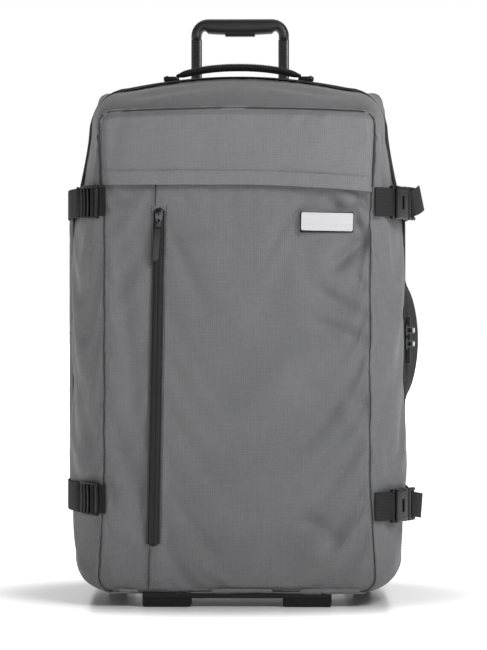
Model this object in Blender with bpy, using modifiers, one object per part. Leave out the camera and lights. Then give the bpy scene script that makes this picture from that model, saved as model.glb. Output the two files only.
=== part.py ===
"""Large wheeled duffel bag: two zipped halves, a two-stage trolley handle, wheels, buckles and a zip lock.

Metres, +Z up. The origin is on the floor under the middle of the bag, and the front faces -Y.
The front half (the lid) turns about a vertical line at the bag's left side.
"""

import math

import bmesh
import bpy
from mathutils import Matrix, Vector

# Driving dimensions
GAP = 0.0003                 # between touching pieces
WALL = 0.003                 # padded fabric wall
ZIP_Y = -0.035               # plane of the main zip
RIM = 0.004                  # from the zip plane to each half's rim
SEAM_Y = -0.146              # piped seam round the front panel
FRONT_Y = -0.150             # flat of the front panel
BACK_Y = 0.140               # fabric back wall
BOTTOM_Z = 0.0193            # underside of the fabric
HINGE_X = -0.2235            # vertical line that the lid turns on

WHEEL_RADIUS = 0.042
WHEEL_WIDTH = 0.024
WHEEL_X = 0.170
WHEEL_Y = 0.113
AXLE_RADIUS = 0.0039

TUBE_X = 0.061               # trolley tubes, each side of the middle
TUBE_Y = 0.123
TUBE_SIZES = {"outer": (0.0210, 0.0160), "mid": (0.0180, 0.0130), "inner": (0.0150, 0.0100)}
TUBE_WALL = 0.0010
GRIP_TOP = 0.790
GRIP_LOW = 0.7608            # lower ends of the grip's legs
GRIP_DEPTH = 0.026

STRAP_WIDTH = 0.038
BUCKLE_ANGLE = math.radians(31)        # the buckles follow the rounded front of the sides
BUCKLE_X, BUCKLE_Y = 0.2017, -0.1236   # where a buckle's inner face touches the side
STRAP_HEIGHTS = {"upper_right": 0.5200, "lower_right": 0.1290, "upper_left": 0.5200, "lower_left": 0.1390}

POCKET_ZIP_TOP = (-0.0995, 0.5125)     # x, z of the front pocket zip's ends
POCKET_ZIP_BOTTOM = (-0.1073, 0.0780)
POCKET_ZIP_WIDTH = 0.0135
PULLER_ASKEW = math.radians(3.0)       # the puller hangs with its end a little to the left
FLAP_HEM_LEFT, FLAP_HEM_RIGHT = 0.5410, 0.5330
FLAP_TOP = 0.6330
FLAP_THICKNESS = 0.0023
FLAP_STAND_OFF = 0.0050        # how far the hem stands off the panel
TOP_ZIP_Z = 0.5600

LOCK_Z = 0.342
SLIDERS_MEET_Z = 0.346
SLIDER_SPACING = 0.018
MAIN_SLIDER_X = 0.222                  # outer face of the wall on the straight of the zip

parts = None
cutters = None


def clear_scene():
    for item in list(bpy.data.objects):
        bpy.data.objects.remove(item, do_unlink=True)


def make_collection(name):
    collection = bpy.data.collections.new(name)
    bpy.context.scene.collection.children.link(collection)
    return collection


def make_material(name, colour, roughness, metallic=0.0):
    material = bpy.data.materials.new(name)
    material.use_nodes = True
    shader = material.node_tree.nodes["Principled BSDF"]
    shader.inputs["Base Color"].default_value = (*colour, 1.0)
    shader.inputs["Roughness"].default_value = roughness
    shader.inputs["Metallic"].default_value = metallic
    material.diffuse_color = (*colour, 1.0)
    return material


def make_materials():
    return {
        "fabric": make_material("grey_ripstop_fabric", (0.16, 0.16, 0.165), 0.75),
        "lining": make_material("grey_lining_board", (0.25, 0.25, 0.26), 0.8),
        "webbing": make_material("black_webbing", (0.012, 0.012, 0.014), 0.85),
        "zip": make_material("black_zip", (0.015, 0.015, 0.017), 0.7),
        "plastic": make_material("black_moulded_plastic", (0.018, 0.018, 0.02), 0.45),
        "grip": make_material("dark_grip_plastic", (0.035, 0.035, 0.038), 0.5),
        "tube": make_material("black_anodised_tube", (0.03, 0.03, 0.033), 0.3, 0.9),
        "steel": make_material("steel", (0.6, 0.6, 0.6), 0.25, 1.0),
        "plate": make_material("brushed_aluminium", (0.72, 0.72, 0.74), 0.3, 1.0),
        "tyre": make_material("black_tyre_rubber", (0.02, 0.02, 0.02), 0.8),
    }


# ---------------------------------------------------------------- building blocks

def add_object(name, mesh, material, collection=None):
    item = bpy.data.objects.new(name, mesh)
    (collection or parts).objects.link(item)
    if material:
        mesh.materials.append(material)
    if collection is cutters:
        item.hide_render = True
        item.display_type = "WIRE"
    return item


def finish_mesh(name, shape):
    bmesh.ops.recalc_face_normals(shape, faces=shape.faces)
    mesh = bpy.data.meshes.new(name)
    shape.to_mesh(mesh)
    shape.free()
    return mesh


def add_bevel(item, width, segments=1, angle=30):
    bevel = item.modifiers.new("rounded_edges", "BEVEL")
    bevel.width = width
    bevel.segments = segments
    bevel.limit_method = "ANGLE"
    bevel.angle_limit = math.radians(angle)
    return item


def add_box(name, low, high, material, bevel=0.0, segments=1, collection=None):
    """A box between two corners, with its origin in its middle."""
    low, high = Vector(low), Vector(high)
    shape = bmesh.new()
    bmesh.ops.create_cube(shape, size=1.0, matrix=Matrix.Diagonal((*(high - low), 1.0)))
    item = add_object(name, finish_mesh(name, shape), material, collection)
    item.location = (low + high) / 2
    if bevel:
        add_bevel(item, bevel, segments)
    return item


def add_cylinder(name, centre, axis, radius, length, material, sides=32, collection=None):
    shape = bmesh.new()
    bmesh.ops.create_cone(shape, cap_ends=True, segments=sides, radius1=radius, radius2=radius, depth=length)
    item = add_object(name, finish_mesh(name, shape), material, collection)
    item.data.shade_smooth()
    item.data.set_sharp_from_angle(angle=math.radians(30))
    item.location = centre
    item.rotation_mode = "QUATERNION"
    item.rotation_quaternion = Vector((0, 0, 1)).rotation_difference(Vector(axis))
    return item


def add_turned(name, profile, centre, axis, material, steps=40):
    """A ring turned about an axis, from a closed (radius, height) profile that runs down its outer side."""
    shape = bmesh.new()
    points = [shape.verts.new((radius, 0.0, height)) for radius, height in profile]
    for start, end in zip(points, points[1:] + points[:1]):
        shape.edges.new((start, end))
    mesh = bpy.data.meshes.new(name)
    shape.to_mesh(mesh)
    shape.free()
    item = add_object(name, mesh, material)
    screw = item.modifiers.new("turned", "SCREW")
    screw.steps = screw.render_steps = steps
    screw.merge_threshold = 0.00005
    screw.use_merge_vertices = True
    screw.use_smooth_shade = True
    item.location = centre
    item.rotation_mode = "QUATERNION"
    item.rotation_quaternion = Vector((0, 0, 1)).rotation_difference(Vector(axis))
    return item


def combine(item, other, operation="UNION"):
    """Joins or cuts with a helper, which moves to the cutters' collection."""
    for collection in list(other.users_collection):
        collection.objects.unlink(other)
    cutters.objects.link(other)
    other.hide_render = True
    other.display_type = "WIRE"
    boolean = item.modifiers.new(operation.lower() + "_" + other.name, "BOOLEAN")
    boolean.operation = operation
    boolean.object = other
    return item


def cut_box(item, name, low, high, bevel=0.0):
    return combine(item, add_box(name, low, high, None, bevel, 2, cutters), "DIFFERENCE")


def rounded_outline(corners, steps=4):
    """Points round a polygon of (u, v, radius) corners, each corner an arc of its radius."""
    outline = []
    count = len(corners)
    for index, (u, v, radius) in enumerate(corners):
        here = Vector((u, v))
        before = Vector(corners[index - 1][:2]) - here
        after = Vector(corners[(index + 1) % count][:2]) - here
        if radius == 0.0:
            outline.append(here)
            continue
        before.normalize()
        after.normalize()
        half = before.angle(after) / 2
        reach = radius / math.tan(half)
        start, end = here + before * reach, here + after * reach
        for step in range(steps + 1):
            share = step / steps
            straight = start.lerp(end, share)
            pull = 2 * share * (1 - share)
            outline.append(straight.lerp(here, pull))
    return outline


def add_plate(name, outline, low, high, material, collection=None):
    """A flat outline of (x, z) points, extruded from y = low to y = high."""
    curve = bpy.data.curves.new(name, "CURVE")
    curve.dimensions = "2D"
    curve.fill_mode = "BOTH"
    curve.extrude = (high - low) / 2
    spline = curve.splines.new("POLY")
    spline.points.add(len(outline) - 1)
    for point, (x, z) in zip(spline.points, outline):
        point.co = (x, z, 0.0, 1.0)
    spline.use_cyclic_u = True
    guide = bpy.data.objects.new(name + "_outline", curve)
    parts.objects.link(guide)
    guide.rotation_euler = (math.pi / 2, 0, 0)
    guide.location = (0, (low + high) / 2, 0)
    bpy.context.view_layer.update()
    evaluated = guide.evaluated_get(bpy.context.evaluated_depsgraph_get())
    mesh = bpy.data.meshes.new_from_object(evaluated)
    mesh.name = name
    shape = bmesh.new()
    shape.from_mesh(mesh)
    bmesh.ops.remove_doubles(shape, verts=shape.verts, dist=0.00001)
    bmesh.ops.recalc_face_normals(shape, faces=shape.faces)
    shape.to_mesh(mesh)
    shape.free()
    mesh.materials.clear()
    item = add_object(name, mesh, material, collection)
    item.matrix_world = guide.matrix_world
    bpy.data.objects.remove(guide, do_unlink=True)
    bpy.data.curves.remove(curve)
    return item


def add_strip(name, stations, across, material):
    """A strip swept through (centre, half thickness, half width) stations, flat along the vector across."""
    across = Vector(across).normalized()
    shape = bmesh.new()
    rings = []
    last = len(stations) - 1
    for index, (centre, half_thickness, half_width) in enumerate(stations):
        ahead = Vector(stations[min(index + 1, last)][0]) - Vector(stations[max(index - 1, 0)][0])
        normal = ahead.cross(across).normalized()
        corners = ((-1, -1), (1, -1), (1, 1), (-1, 1))
        rings.append([
            shape.verts.new(Vector(centre) + normal * half_thickness * a + across * half_width * b)
            for a, b in corners
        ])
    for ring, following in zip(rings, rings[1:]):
        for a in range(4):
            b = (a + 1) % 4
            shape.faces.new((ring[a], ring[b], following[b], following[a]))
    shape.faces.new(rings[0])
    shape.faces.new(rings[-1])
    return add_object(name, finish_mesh(name, shape), material)


def add_empty(name, location, parent=None):
    empty = bpy.data.objects.new(name, None)
    parts.objects.link(empty)
    empty.location = location
    empty.empty_display_size = 0.02
    bpy.context.view_layer.update()
    if parent:
        attach([empty], parent)
    return empty


def attach(items, parent):
    """Makes items children of parent without moving them."""
    bpy.context.view_layer.update()
    for item in items:
        item.parent = parent
        item.matrix_parent_inverse = parent.matrix_world.inverted()


# ---------------------------------------------------------------- the two halves

# One outline of the bag across Y, as half widths and heights.
ZIP_OUTLINE = {
    "bottom": BOTTOM_Z, "low_width": 0.217, "low_corner": (0.040, 0.044), "width": 0.222,
    "top_width": 0.199, "top_corner": (0.053, 0.062), "shoulder": 0.6780, "crown": 0.6930,
}
SEAM_OUTLINE = {
    "bottom": 0.0205, "low_width": 0.177, "low_corner": (0.026, 0.028), "width": 0.171,
    "top_width": 0.177, "top_corner": (0.028, 0.026), "shoulder": 0.6360, "crown": 0.6405,
}
BACK_OUTLINE = {
    "bottom": BOTTOM_Z, "low_width": 0.207, "low_corner": (0.020, 0.020), "width": 0.209,
    "top_width": 0.2000, "top_corner": (0.016, 0.016), "shoulder": 0.6895, "crown": 0.6900,
}
STRAIGHT_LOW, STRAIGHT_HIGH = 0.160, 0.500     # the sides are straight between these heights


def blended(first, second, share):
    def mix(a, b):
        if isinstance(a, tuple):
            return tuple(mix(p, q) for p, q in zip(a, b))
        return a + (b - a) * share
    return {key: mix(first[key], second[key]) for key in first}


def shrunk(outline, inset):
    """The same outline, pulled in by inset all round."""
    result = dict(outline)
    for key in ("low_width", "width", "top_width", "shoulder", "crown"):
        result[key] = outline[key] - inset
    result["bottom"] = outline["bottom"] + inset
    for key in ("low_corner", "top_corner"):
        result[key] = tuple(max(radius - inset * 0.5, 0.004) for radius in outline[key])
    return result


def arc_points(centre, radii, start, end, count):
    angles = [start + (end - start) * step / count for step in range(count + 1)]
    return [(centre[0] + radii[0] * math.cos(a), centre[1] + radii[1] * math.sin(a)) for a in angles]


def half_outline(form):
    """(x, z) points up the right side, from the middle of the bottom to the middle of the top."""
    low_x, low_z = form["low_corner"]
    top_x, top_z = form["top_corner"]
    base = form["bottom"]
    points = [(0.0, base), ((form["low_width"] - low_x) * 0.5, base)]
    points += arc_points((form["low_width"] - low_x, base + low_z), (low_x, low_z), -math.pi / 2, 0.0, 4)
    for height in (STRAIGHT_LOW, 0.245, 0.330, 0.415, STRAIGHT_HIGH):
        points.append((form["width"], height))
    start_top = form["shoulder"] - top_z
    middle_top = (STRAIGHT_HIGH + start_top) / 2
    points.append((form["width"] * 0.42 + form["top_width"] * 0.58, middle_top))
    corner_centre = (form["top_width"] - top_x, start_top)
    points += arc_points(corner_centre, (top_x, top_z), 0.0, math.pi / 2, 5)
    edge = form["top_width"] - top_x
    for share in (0.66, 0.33):
        rise = (form["crown"] - form["shoulder"]) * (1 - share ** 2)
        points.append((edge * share, form["shoulder"] + rise))
    points.append((0.0, form["crown"]))
    return points


def full_outline(form):
    right = half_outline(form)
    left = [(-x, z) for x, z in reversed(right[1:-1])]
    return right + left


def add_shell(name, sections, material):
    """A wall through (y, outline) sections, closed at the last one and open at the first."""
    shape = bmesh.new()
    rings = []
    for y, form in sections:
        rings.append([shape.verts.new((x, y, z)) for x, z in full_outline(form)])
    count = len(rings[0])
    for ring, following in zip(rings, rings[1:]):
        for a in range(count):
            b = (a + 1) % count
            shape.faces.new((ring[a], ring[b], following[b], following[a]))
    shape.faces.new(rings[-1])
    item = add_object(name, finish_mesh(name, shape), material)
    item.data.shade_smooth()
    item.data.set_sharp_from_angle(angle=math.radians(35))
    solidify = item.modifiers.new("wall", "SOLIDIFY")
    solidify.thickness = WALL
    solidify.offset = -1.0
    return item


def lid_sections():
    depth = ZIP_Y - SEAM_Y
    sections = []
    for degrees in (88, 72, 54, 36, 18, 3):
        angle = math.radians(degrees)
        form = blended(SEAM_OUTLINE, ZIP_OUTLINE, math.sin(angle))
        sections.append((ZIP_Y - depth * math.cos(angle), form))
    sections[0] = (ZIP_Y - RIM, ZIP_OUTLINE)
    sections.append((FRONT_Y + 0.0012, shrunk(SEAM_OUTLINE, 0.003)))
    sections.append((FRONT_Y, shrunk(SEAM_OUTLINE, 0.008)))
    return sections


def back_sections():
    round_edge = 0.016
    sections = []
    for share in (0.0, 0.2, 0.45, 0.75, 1.0):
        y = ZIP_Y + RIM + (BACK_Y - round_edge - ZIP_Y - RIM) * share
        sections.append((y, blended(ZIP_OUTLINE, BACK_OUTLINE, share)))
    for degrees in (35, 65, 90):
        angle = math.radians(degrees)
        inset = round_edge * (1 - math.cos(angle))
        sections.append((BACK_Y - round_edge * (1 - math.sin(angle)), shrunk(BACK_OUTLINE, inset)))
    return sections


def make_front_shell(looks):
    return add_shell("front_shell", lid_sections(), looks["fabric"])


def make_back_shell(looks):
    shell = add_shell("back_shell", back_sections(), looks["fabric"])
    for side, word in ((-1, "left"), (1, "right")):
        inner, outer = WHEEL_X - 0.0243, 0.240
        low = (min(side * inner, side * outer), HOUSING_FRONT - GAP, -0.01)
        high = (max(side * inner, side * outer), 0.180, HOUSING_TOP + GAP)
        cut_box(shell, "wheel_corner_" + word, low, high)
    cut_box(shell, "bezel_hole", (-0.0803, BEZEL_FRONT - GAP, 0.660), (0.0803, BEZEL_BACK + GAP, 0.720))
    cut_box(shell, "lock_window", (0.200, LOCK_FRONT + 0.0017, LOCK_Z - 0.0303),
            (0.240, LOCK_BACK - 0.0017, LOCK_Z + 0.0303))
    return shell


def outline_strip(name, y, path, material):
    stations = []
    last = len(path) - 1
    for index, (x, z) in enumerate(path):
        ahead = Vector(path[min(index + 1, last)]) - Vector(path[max(index - 1, 0)])
        inward = Vector((-ahead.y, ahead.x)).normalized()
        inside = Vector((x, z)) + inward * 0.0015
        stations.append((Vector((inside.x, y, inside.y)), 0.0012, 0.00135))
    return add_strip(name, stations, (0, 1, 0), material)


def make_zip_tapes(looks):
    """The main zip runs round the bottom, the right side and the top. Its ends turn onto the left side."""
    right = half_outline(ZIP_OUTLINE)
    left = [(-x, z) for x, z in right]
    bottom_left = [point for point in left[1:] if point[1] < STRAIGHT_LOW]
    top_left = [point for point in left[:-1] if point[1] > STRAIGHT_HIGH + 0.01]
    path = list(reversed(bottom_left)) + right + list(reversed(top_left))
    half_step = 0.0013 + 0.00135
    lid_tape = outline_strip("zip_tape_lid", ZIP_Y - half_step + 0.0003, path, looks["zip"])
    base_tape = outline_strip("zip_tape_base", ZIP_Y + half_step - 0.0003, path, looks["zip"])
    gusset_path = [(-ZIP_OUTLINE["width"], z) for z in (STRAIGHT_HIGH, 0.330, STRAIGHT_LOW)]
    stations = [(Vector((x + 0.0015, ZIP_Y, z)), 0.0012, 0.0036) for x, z in gusset_path]
    gusset = add_strip("hinge_gusset", stations, (0, 1, 0), looks["fabric"])
    return lid_tape, base_tape, gusset


# ---------------------------------------------------------------- front panel pieces

def make_pocket_flap(looks):
    """The panel hanging over the top pocket, standing off the front towards its hem."""
    outline = rounded_outline([
        (-0.1690, FLAP_HEM_LEFT, 0.003), (0.1720, FLAP_HEM_RIGHT, 0.003),
        (0.1710, FLAP_TOP, 0.020), (-0.1690, FLAP_TOP, 0.020),
    ])
    flap = add_plate("pocket_flap", outline, -FLAP_THICKNESS, 0.0, looks["fabric"])
    # The plate's own axes are x, z and -y. The shift sets its top on the panel and its hem ahead of it.
    for vertex in flap.data.vertices:
        vertex.co.z += GAP - FRONT_Y + FLAP_STAND_OFF * (FLAP_TOP - vertex.co.y) / (FLAP_TOP - FLAP_HEM_LEFT)
    flap.data.update()
    return flap


def pocket_zip_direction():
    across = POCKET_ZIP_BOTTOM[0] - POCKET_ZIP_TOP[0]
    down = POCKET_ZIP_BOTTOM[1] - POCKET_ZIP_TOP[1]
    return Vector((across, 0, down)).normalized()


def make_front_pocket_zip(looks):
    """A laminated strip with the teeth under it, its slider, and the puller that hangs from the slider."""
    start = Vector((POCKET_ZIP_TOP[0], 0, POCKET_ZIP_TOP[1]))
    along = pocket_zip_direction()
    tilt = math.atan2(-along.x, -along.z)
    length = (Vector((POCKET_ZIP_BOTTOM[0], 0, POCKET_ZIP_BOTTOM[1])) - start).length
    strip_face = FRONT_Y - GAP - 0.0013
    frame = add_empty("front_pocket_zip_line", start)
    half = POCKET_ZIP_WIDTH / 2
    strip = add_box("front_pocket_zip", (-half, strip_face, -length), (half, FRONT_Y - GAP, 0), looks["zip"])
    plate_face = strip_face - GAP - 0.0016
    slider_at = -0.0100
    slider = add_box("front_pocket_slider", (-0.0045, plate_face, slider_at - 0.0070),
                     (0.0045, strip_face - GAP, slider_at + 0.0070), looks["plastic"], 0.0006)
    ears = []
    pin_y = plate_face - 0.0022
    pin_z = slider_at - 0.0040
    for side in (-1, 1):
        ear = add_box(f"pocket_ear_{side}", (side * 0.0030 - 0.0008, pin_y - 0.0012, pin_z - 0.0018),
                      (side * 0.0030 + 0.0008, plate_face + 0.0004, pin_z + 0.0018), None)
        ears.append(ear)
    pin = add_cylinder("pocket_pin", (0, pin_y, pin_z), (1, 0, 0), 0.0008, 0.0064, None, 12)
    for helper in ears + [pin]:
        combine(slider, helper)
    puller = add_box("front_pocket_puller", (-0.0052, pin_y - 0.0012, pin_z - 0.0540),
                     (0.0052, pin_y + 0.0012, pin_z - 0.0070), looks["plastic"], 0.0005)
    neck = add_box("pocket_puller_neck", (-0.0016, pin_y - 0.0012, pin_z - 0.0085),
                   (0.0016, pin_y + 0.0012, pin_z), None)
    eye = add_cylinder("pocket_puller_eye", (0, pin_y, pin_z), (1, 0, 0), 0.0019, 0.0032, None, 16)
    hole = add_cylinder("pocket_puller_hole", (0, pin_y, pin_z), (1, 0, 0), 0.0012, 0.0060, None, 12)
    combine(puller, neck)
    combine(puller, eye)
    combine(puller, hole, "DIFFERENCE")
    pin_place = Matrix.Translation((0, pin_y, pin_z))
    askew = pin_place @ Matrix.Rotation(PULLER_ASKEW, 4, "Y") @ pin_place.inverted()
    bpy.context.view_layer.update()
    for item in (puller, neck, eye, hole):
        item.matrix_world = askew @ item.matrix_world
    line = [strip, slider, puller, neck, eye, hole, pin] + ears
    turn = Matrix.Translation(start) @ Matrix.Rotation(tilt, 4, "Y")
    bpy.context.view_layer.update()
    for item in line:
        item.matrix_world = turn @ item.matrix_world
    pull_axis = add_empty("front_puller_axis", turn @ Vector((0, pin_y, pin_z)))
    attach([puller], pull_axis)
    attach([pull_axis, slider, strip], frame)
    return frame


def make_top_pocket_zip(looks):
    face = FRONT_Y - GAP - 0.0012
    tape = add_box("top_pocket_zip", (-0.1450, face, TOP_ZIP_Z - 0.0060),
                   (0.1450, FRONT_Y - GAP, TOP_ZIP_Z + 0.0060), looks["zip"])
    slider = add_box("top_pocket_slider", (-0.1400, face - GAP - 0.0015, TOP_ZIP_Z - 0.0035),
                     (-0.1280, face - GAP, TOP_ZIP_Z + 0.0035), looks["plastic"], 0.0005)
    pull = add_box("top_pocket_pull", (-0.1290, face - GAP - 0.0013, TOP_ZIP_Z - 0.0020),
                   (-0.1080, face - GAP - 0.0003, TOP_ZIP_Z + 0.0020), None)
    combine(slider, pull)
    return [tape, slider]


def make_nameplate(looks):
    """A blank metal plate with rounded corners and a folded edge, held by its back."""
    outline = rounded_outline([
        (-0.0330, -0.0115, 0.002), (0.0330, -0.0115, 0.002),
        (0.0330, 0.0115, 0.002), (-0.0330, 0.0115, 0.002),
    ])
    plate = add_plate("nameplate", outline, -0.0009, 0.0009, looks["plate"])
    plate.location = (0.1155, FRONT_Y - GAP - 0.0009, 0.4941)
    plate.rotation_euler.y = math.radians(1.2)
    return plate


# ---------------------------------------------------------------- straps and buckles

def buckle_matrix(side, height):
    """Local x points out of the side, local y along the strap to the rear."""
    along = Vector((side * math.sin(BUCKLE_ANGLE), math.cos(BUCKLE_ANGLE), 0))
    out = Vector((side * math.cos(BUCKLE_ANGLE), -math.sin(BUCKLE_ANGLE), 0))
    third = out.cross(along)
    turn = Matrix((out, along, third)).transposed().to_4x4()
    return Matrix.Translation((side * BUCKLE_X, BUCKLE_Y, height)) @ turn


def add_tab(holder, place):
    """The short webbing that holds a buckle's front edge to the seam of the front panel."""
    tab = add_box("tab_" + place, (-0.0010, -0.0155, -STRAP_WIDTH / 2),
                  (0.0012, 0.0020, STRAP_WIDTH / 2), None)
    bpy.context.view_layer.update()
    turn = Matrix.Rotation(math.radians(26), 4, "Z")
    tab.matrix_world = Matrix.Translation((0.0016, -0.0130, 0)) @ turn @ tab.matrix_world
    combine(holder, tab)
    return tab


def make_buckle(place, side, height, looks):
    matrix = buckle_matrix(side, height)
    female = add_box("buckle_female_" + place, (0.0004, -0.0140, -0.0215), (0.0112, 0.0220, 0.0215),
                     looks["plastic"], 0.0016, 2)
    helpers = [add_box("pocket_" + place, (0.0028, -0.0020, -0.0170), (0.0088, 0.0300, 0.0170), None)]
    for edge in (-1, 1):
        low, high = sorted((edge * 0.0140, edge * 0.0300))
        helpers.append(add_box(f"window_{place}_{edge}", (0.0028, 0.0000, low), (0.0088, 0.0110, high), None))
    for helper in helpers:
        combine(female, helper, "DIFFERENCE")
    tab = add_tab(female, place)

    male = add_box("buckle_male_" + place, (0.0016, 0.0224, -0.0200), (0.0104, 0.0310, 0.0200),
                   looks["plastic"], 0.0012, 2)
    ladder = add_box("ladder_" + place, (0.0022, 0.0300, -0.0215), (0.0098, 0.0480, 0.0215), None, 0.0012)
    combine(male, ladder)
    prongs = []
    for index, middle in enumerate((-0.0125, 0.0, 0.0125)):
        prong = add_box(f"prong_{place}_{index}", (0.0034, 0.0030, middle - 0.0026),
                        (0.0082, 0.0240, middle + 0.0026), None)
        prongs.append(prong)
        combine(male, prong)
    slots = []
    for index, middle in enumerate((0.0350, 0.0425)):
        slot = add_box(f"slot_{place}_{index}", (-0.010, middle - 0.0018, -0.0170),
                       (0.030, middle + 0.0018, 0.0170), None)
        slots.append(slot)
        combine(male, slot, "DIFFERENCE")
    bpy.context.view_layer.update()
    for item in [female, male, tab, ladder] + helpers + prongs + slots:
        item.matrix_world = matrix @ item.matrix_world
    axis = add_empty("strap_axis_" + place, matrix.translation)
    attach([male], axis)
    return female


# The folded strap end that sticks out behind an adjuster, as distances out of the side and along it.
STRAP_TAIL = ((0.0070, 0.0225), (0.0110, 0.0290), (0.0118, 0.0440))


def make_ladder_lock(place, side, height, looks):
    """The adjuster on the hinge side: a frame of four bars that the strap threads through."""
    matrix = buckle_matrix(side, height)
    lock = add_box("ladder_lock_" + place, (0.0004, -0.0140, -0.0215), (0.0084, 0.0260, 0.0215),
                   looks["plastic"], 0.0016, 2)
    slots = []
    for index, middle in enumerate((-0.0070, 0.0040, 0.0150)):
        slot = add_box(f"ladder_slot_{place}_{index}", (-0.010, middle - 0.0019, -0.0185),
                       (0.030, middle + 0.0019, 0.0185), None)
        slots.append(slot)
        combine(lock, slot, "DIFFERENCE")
    tab = add_tab(lock, place)
    stations = [(Vector((x, y, 0)), 0.0012, STRAP_WIDTH / 2 - 0.0005) for x, y in STRAP_TAIL]
    tail = add_strip("tail_" + place, stations, (0, 0, 1), None)
    combine(lock, tail)
    bpy.context.view_layer.update()
    for item in [lock, tab, tail] + slots:
        item.matrix_world = matrix @ item.matrix_world
    return lock


def strap_path(side, ends):
    """(x, y) points of a strap along the bag's side, kept clear of the wall."""
    points = [(0.2228, -0.0870), (0.2246, -0.0650), (0.2246, -0.0415), (0.2243, -0.0270), (0.2240, 0.0050),
              (0.2228, 0.0400), (0.2210, 0.0760)]
    return [(side * x, y) for x, y in points if ends[0] <= y <= ends[1]]


def make_strap(name, side, height, ends, looks):
    stations = [(Vector((x, y, height)), 0.0009, STRAP_WIDTH / 2) for x, y in strap_path(side, ends)]
    return add_strip(name, stations, (0, 0, 1), looks["webbing"])


# ---------------------------------------------------------------- trolley handle

def tube_outline(size, inset=0.0):
    half_x, half_z = size[0] / 2 - inset, size[1] / 2 - inset
    corner = max(0.0035 - inset, 0.0012)
    return rounded_outline([(-half_x, -half_z, corner), (half_x, -half_z, corner),
                            (half_x, half_z, corner), (-half_x, half_z, corner)], 3)


def add_tube(name, stage, side, bottom, top, material):
    """An upright hollow tube with rounded corners, open at both ends."""
    size = TUBE_SIZES[stage]
    shape = bmesh.new()
    outer = tube_outline(size)
    inner = tube_outline(size, TUBE_WALL)
    rings = []
    for outline, z in ((outer, bottom), (outer, top), (inner, top), (inner, bottom)):
        rings.append([shape.verts.new((u, v, z - bottom)) for u, v in outline])
    count = len(outer)
    for ring, following in zip(rings, rings[1:] + rings[:1]):
        for a in range(count):
            b = (a + 1) % count
            shape.faces.new((ring[a], ring[b], following[b], following[a]))
    item = add_object(name, finish_mesh(name, shape), material)
    item.location = (side * TUBE_X, TUBE_Y, bottom)
    return item


def cut_tube_hole(piece, name, stage, side, clearance, low, high):
    """A hole for a tube of that stage, with clearance all round."""
    half_x = TUBE_SIZES[stage][0] / 2 + clearance
    half_y = TUBE_SIZES[stage][1] / 2 + clearance
    x = side * TUBE_X
    cut_box(piece, name, (x - half_x, TUBE_Y - half_y, low), (x + half_x, TUBE_Y + half_y, high))


BEZEL_FRONT, BEZEL_BACK = 0.1050, 0.1390


def make_bezel(looks):
    bezel = add_box("handle_bezel", (-0.0880, BEZEL_FRONT - 0.005, 0.6908), (0.0880, BEZEL_BACK, 0.6955),
                    looks["plastic"], 0.0020, 2)
    collar = add_box("bezel_collar", (-0.0800, BEZEL_FRONT, 0.6730),
                     (0.0800, BEZEL_BACK - 0.0035, 0.6925), None)
    combine(bezel, collar)
    for side, word in ((-1, "left"), (1, "right")):
        cut_tube_hole(bezel, "mid_hole_" + word, "mid", side, 0.0004, 0.660, 0.710)
        cut_tube_hole(bezel, "outer_socket_" + word, "outer", side, 0.0003, 0.660, 0.6890)
    return bezel


def make_foot_bracket(looks):
    """The moulding that ties the lower ends of the outer tubes together."""
    bracket = add_box("handle_foot_bracket", (-0.0850, 0.1085, 0.0330), (0.0850, 0.1335, 0.0640),
                      looks["plastic"], 0.002, 1)
    for side, word in ((-1, "left"), (1, "right")):
        cut_tube_hole(bracket, "foot_socket_" + word, "outer", side, 0.0003, 0.0430, 0.0800)
    return bracket


def make_grip(looks):
    """A bent bar whose two legs plug into the tops of the inner tubes."""
    outer_x, inner_x = TUBE_X + 0.0074, TUBE_X - 0.0074
    outline = rounded_outline([
        (-outer_x, GRIP_LOW, 0.0), (-inner_x, GRIP_LOW, 0.0),
        (-inner_x, 0.7704, 0.0080), (-0.0220, 0.7676, 0.0400),
        (0.0220, 0.7676, 0.0400), (inner_x, 0.7704, 0.0080),
        (inner_x, GRIP_LOW, 0.0), (outer_x, GRIP_LOW, 0.0),
        (outer_x, GRIP_TOP, 0.0290), (-outer_x, GRIP_TOP, 0.0290),
    ])
    grip = add_plate("grip", outline, TUBE_Y - GRIP_DEPTH / 2, TUBE_Y + GRIP_DEPTH / 2, looks["grip"])
    add_bevel(grip, 0.0040, 2, 40)
    half_x = TUBE_SIZES["inner"][0] / 2 - TUBE_WALL - GAP
    half_y = TUBE_SIZES["inner"][1] / 2 - TUBE_WALL - GAP
    for side, word in ((-1, "left"), (1, "right")):
        x = side * TUBE_X
        plug = add_box("plug_" + word, (x - half_x, TUBE_Y - half_y, GRIP_LOW - 0.0160),
                       (x + half_x, TUBE_Y + half_y, GRIP_LOW + 0.0040), None, 0.0015)
        combine(grip, plug)
    cut_box(grip, "button_pocket", (-0.0213, TUBE_Y - 0.0058, 0.750), (0.0213, TUBE_Y + 0.0058, 0.7815))
    return grip


def make_release_button(looks):
    return add_box("release_button", (-0.0210, TUBE_Y - 0.0055, 0.7660), (0.0210, TUBE_Y + 0.0055, 0.7755),
                   looks["plastic"], 0.0012, 2)


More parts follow.
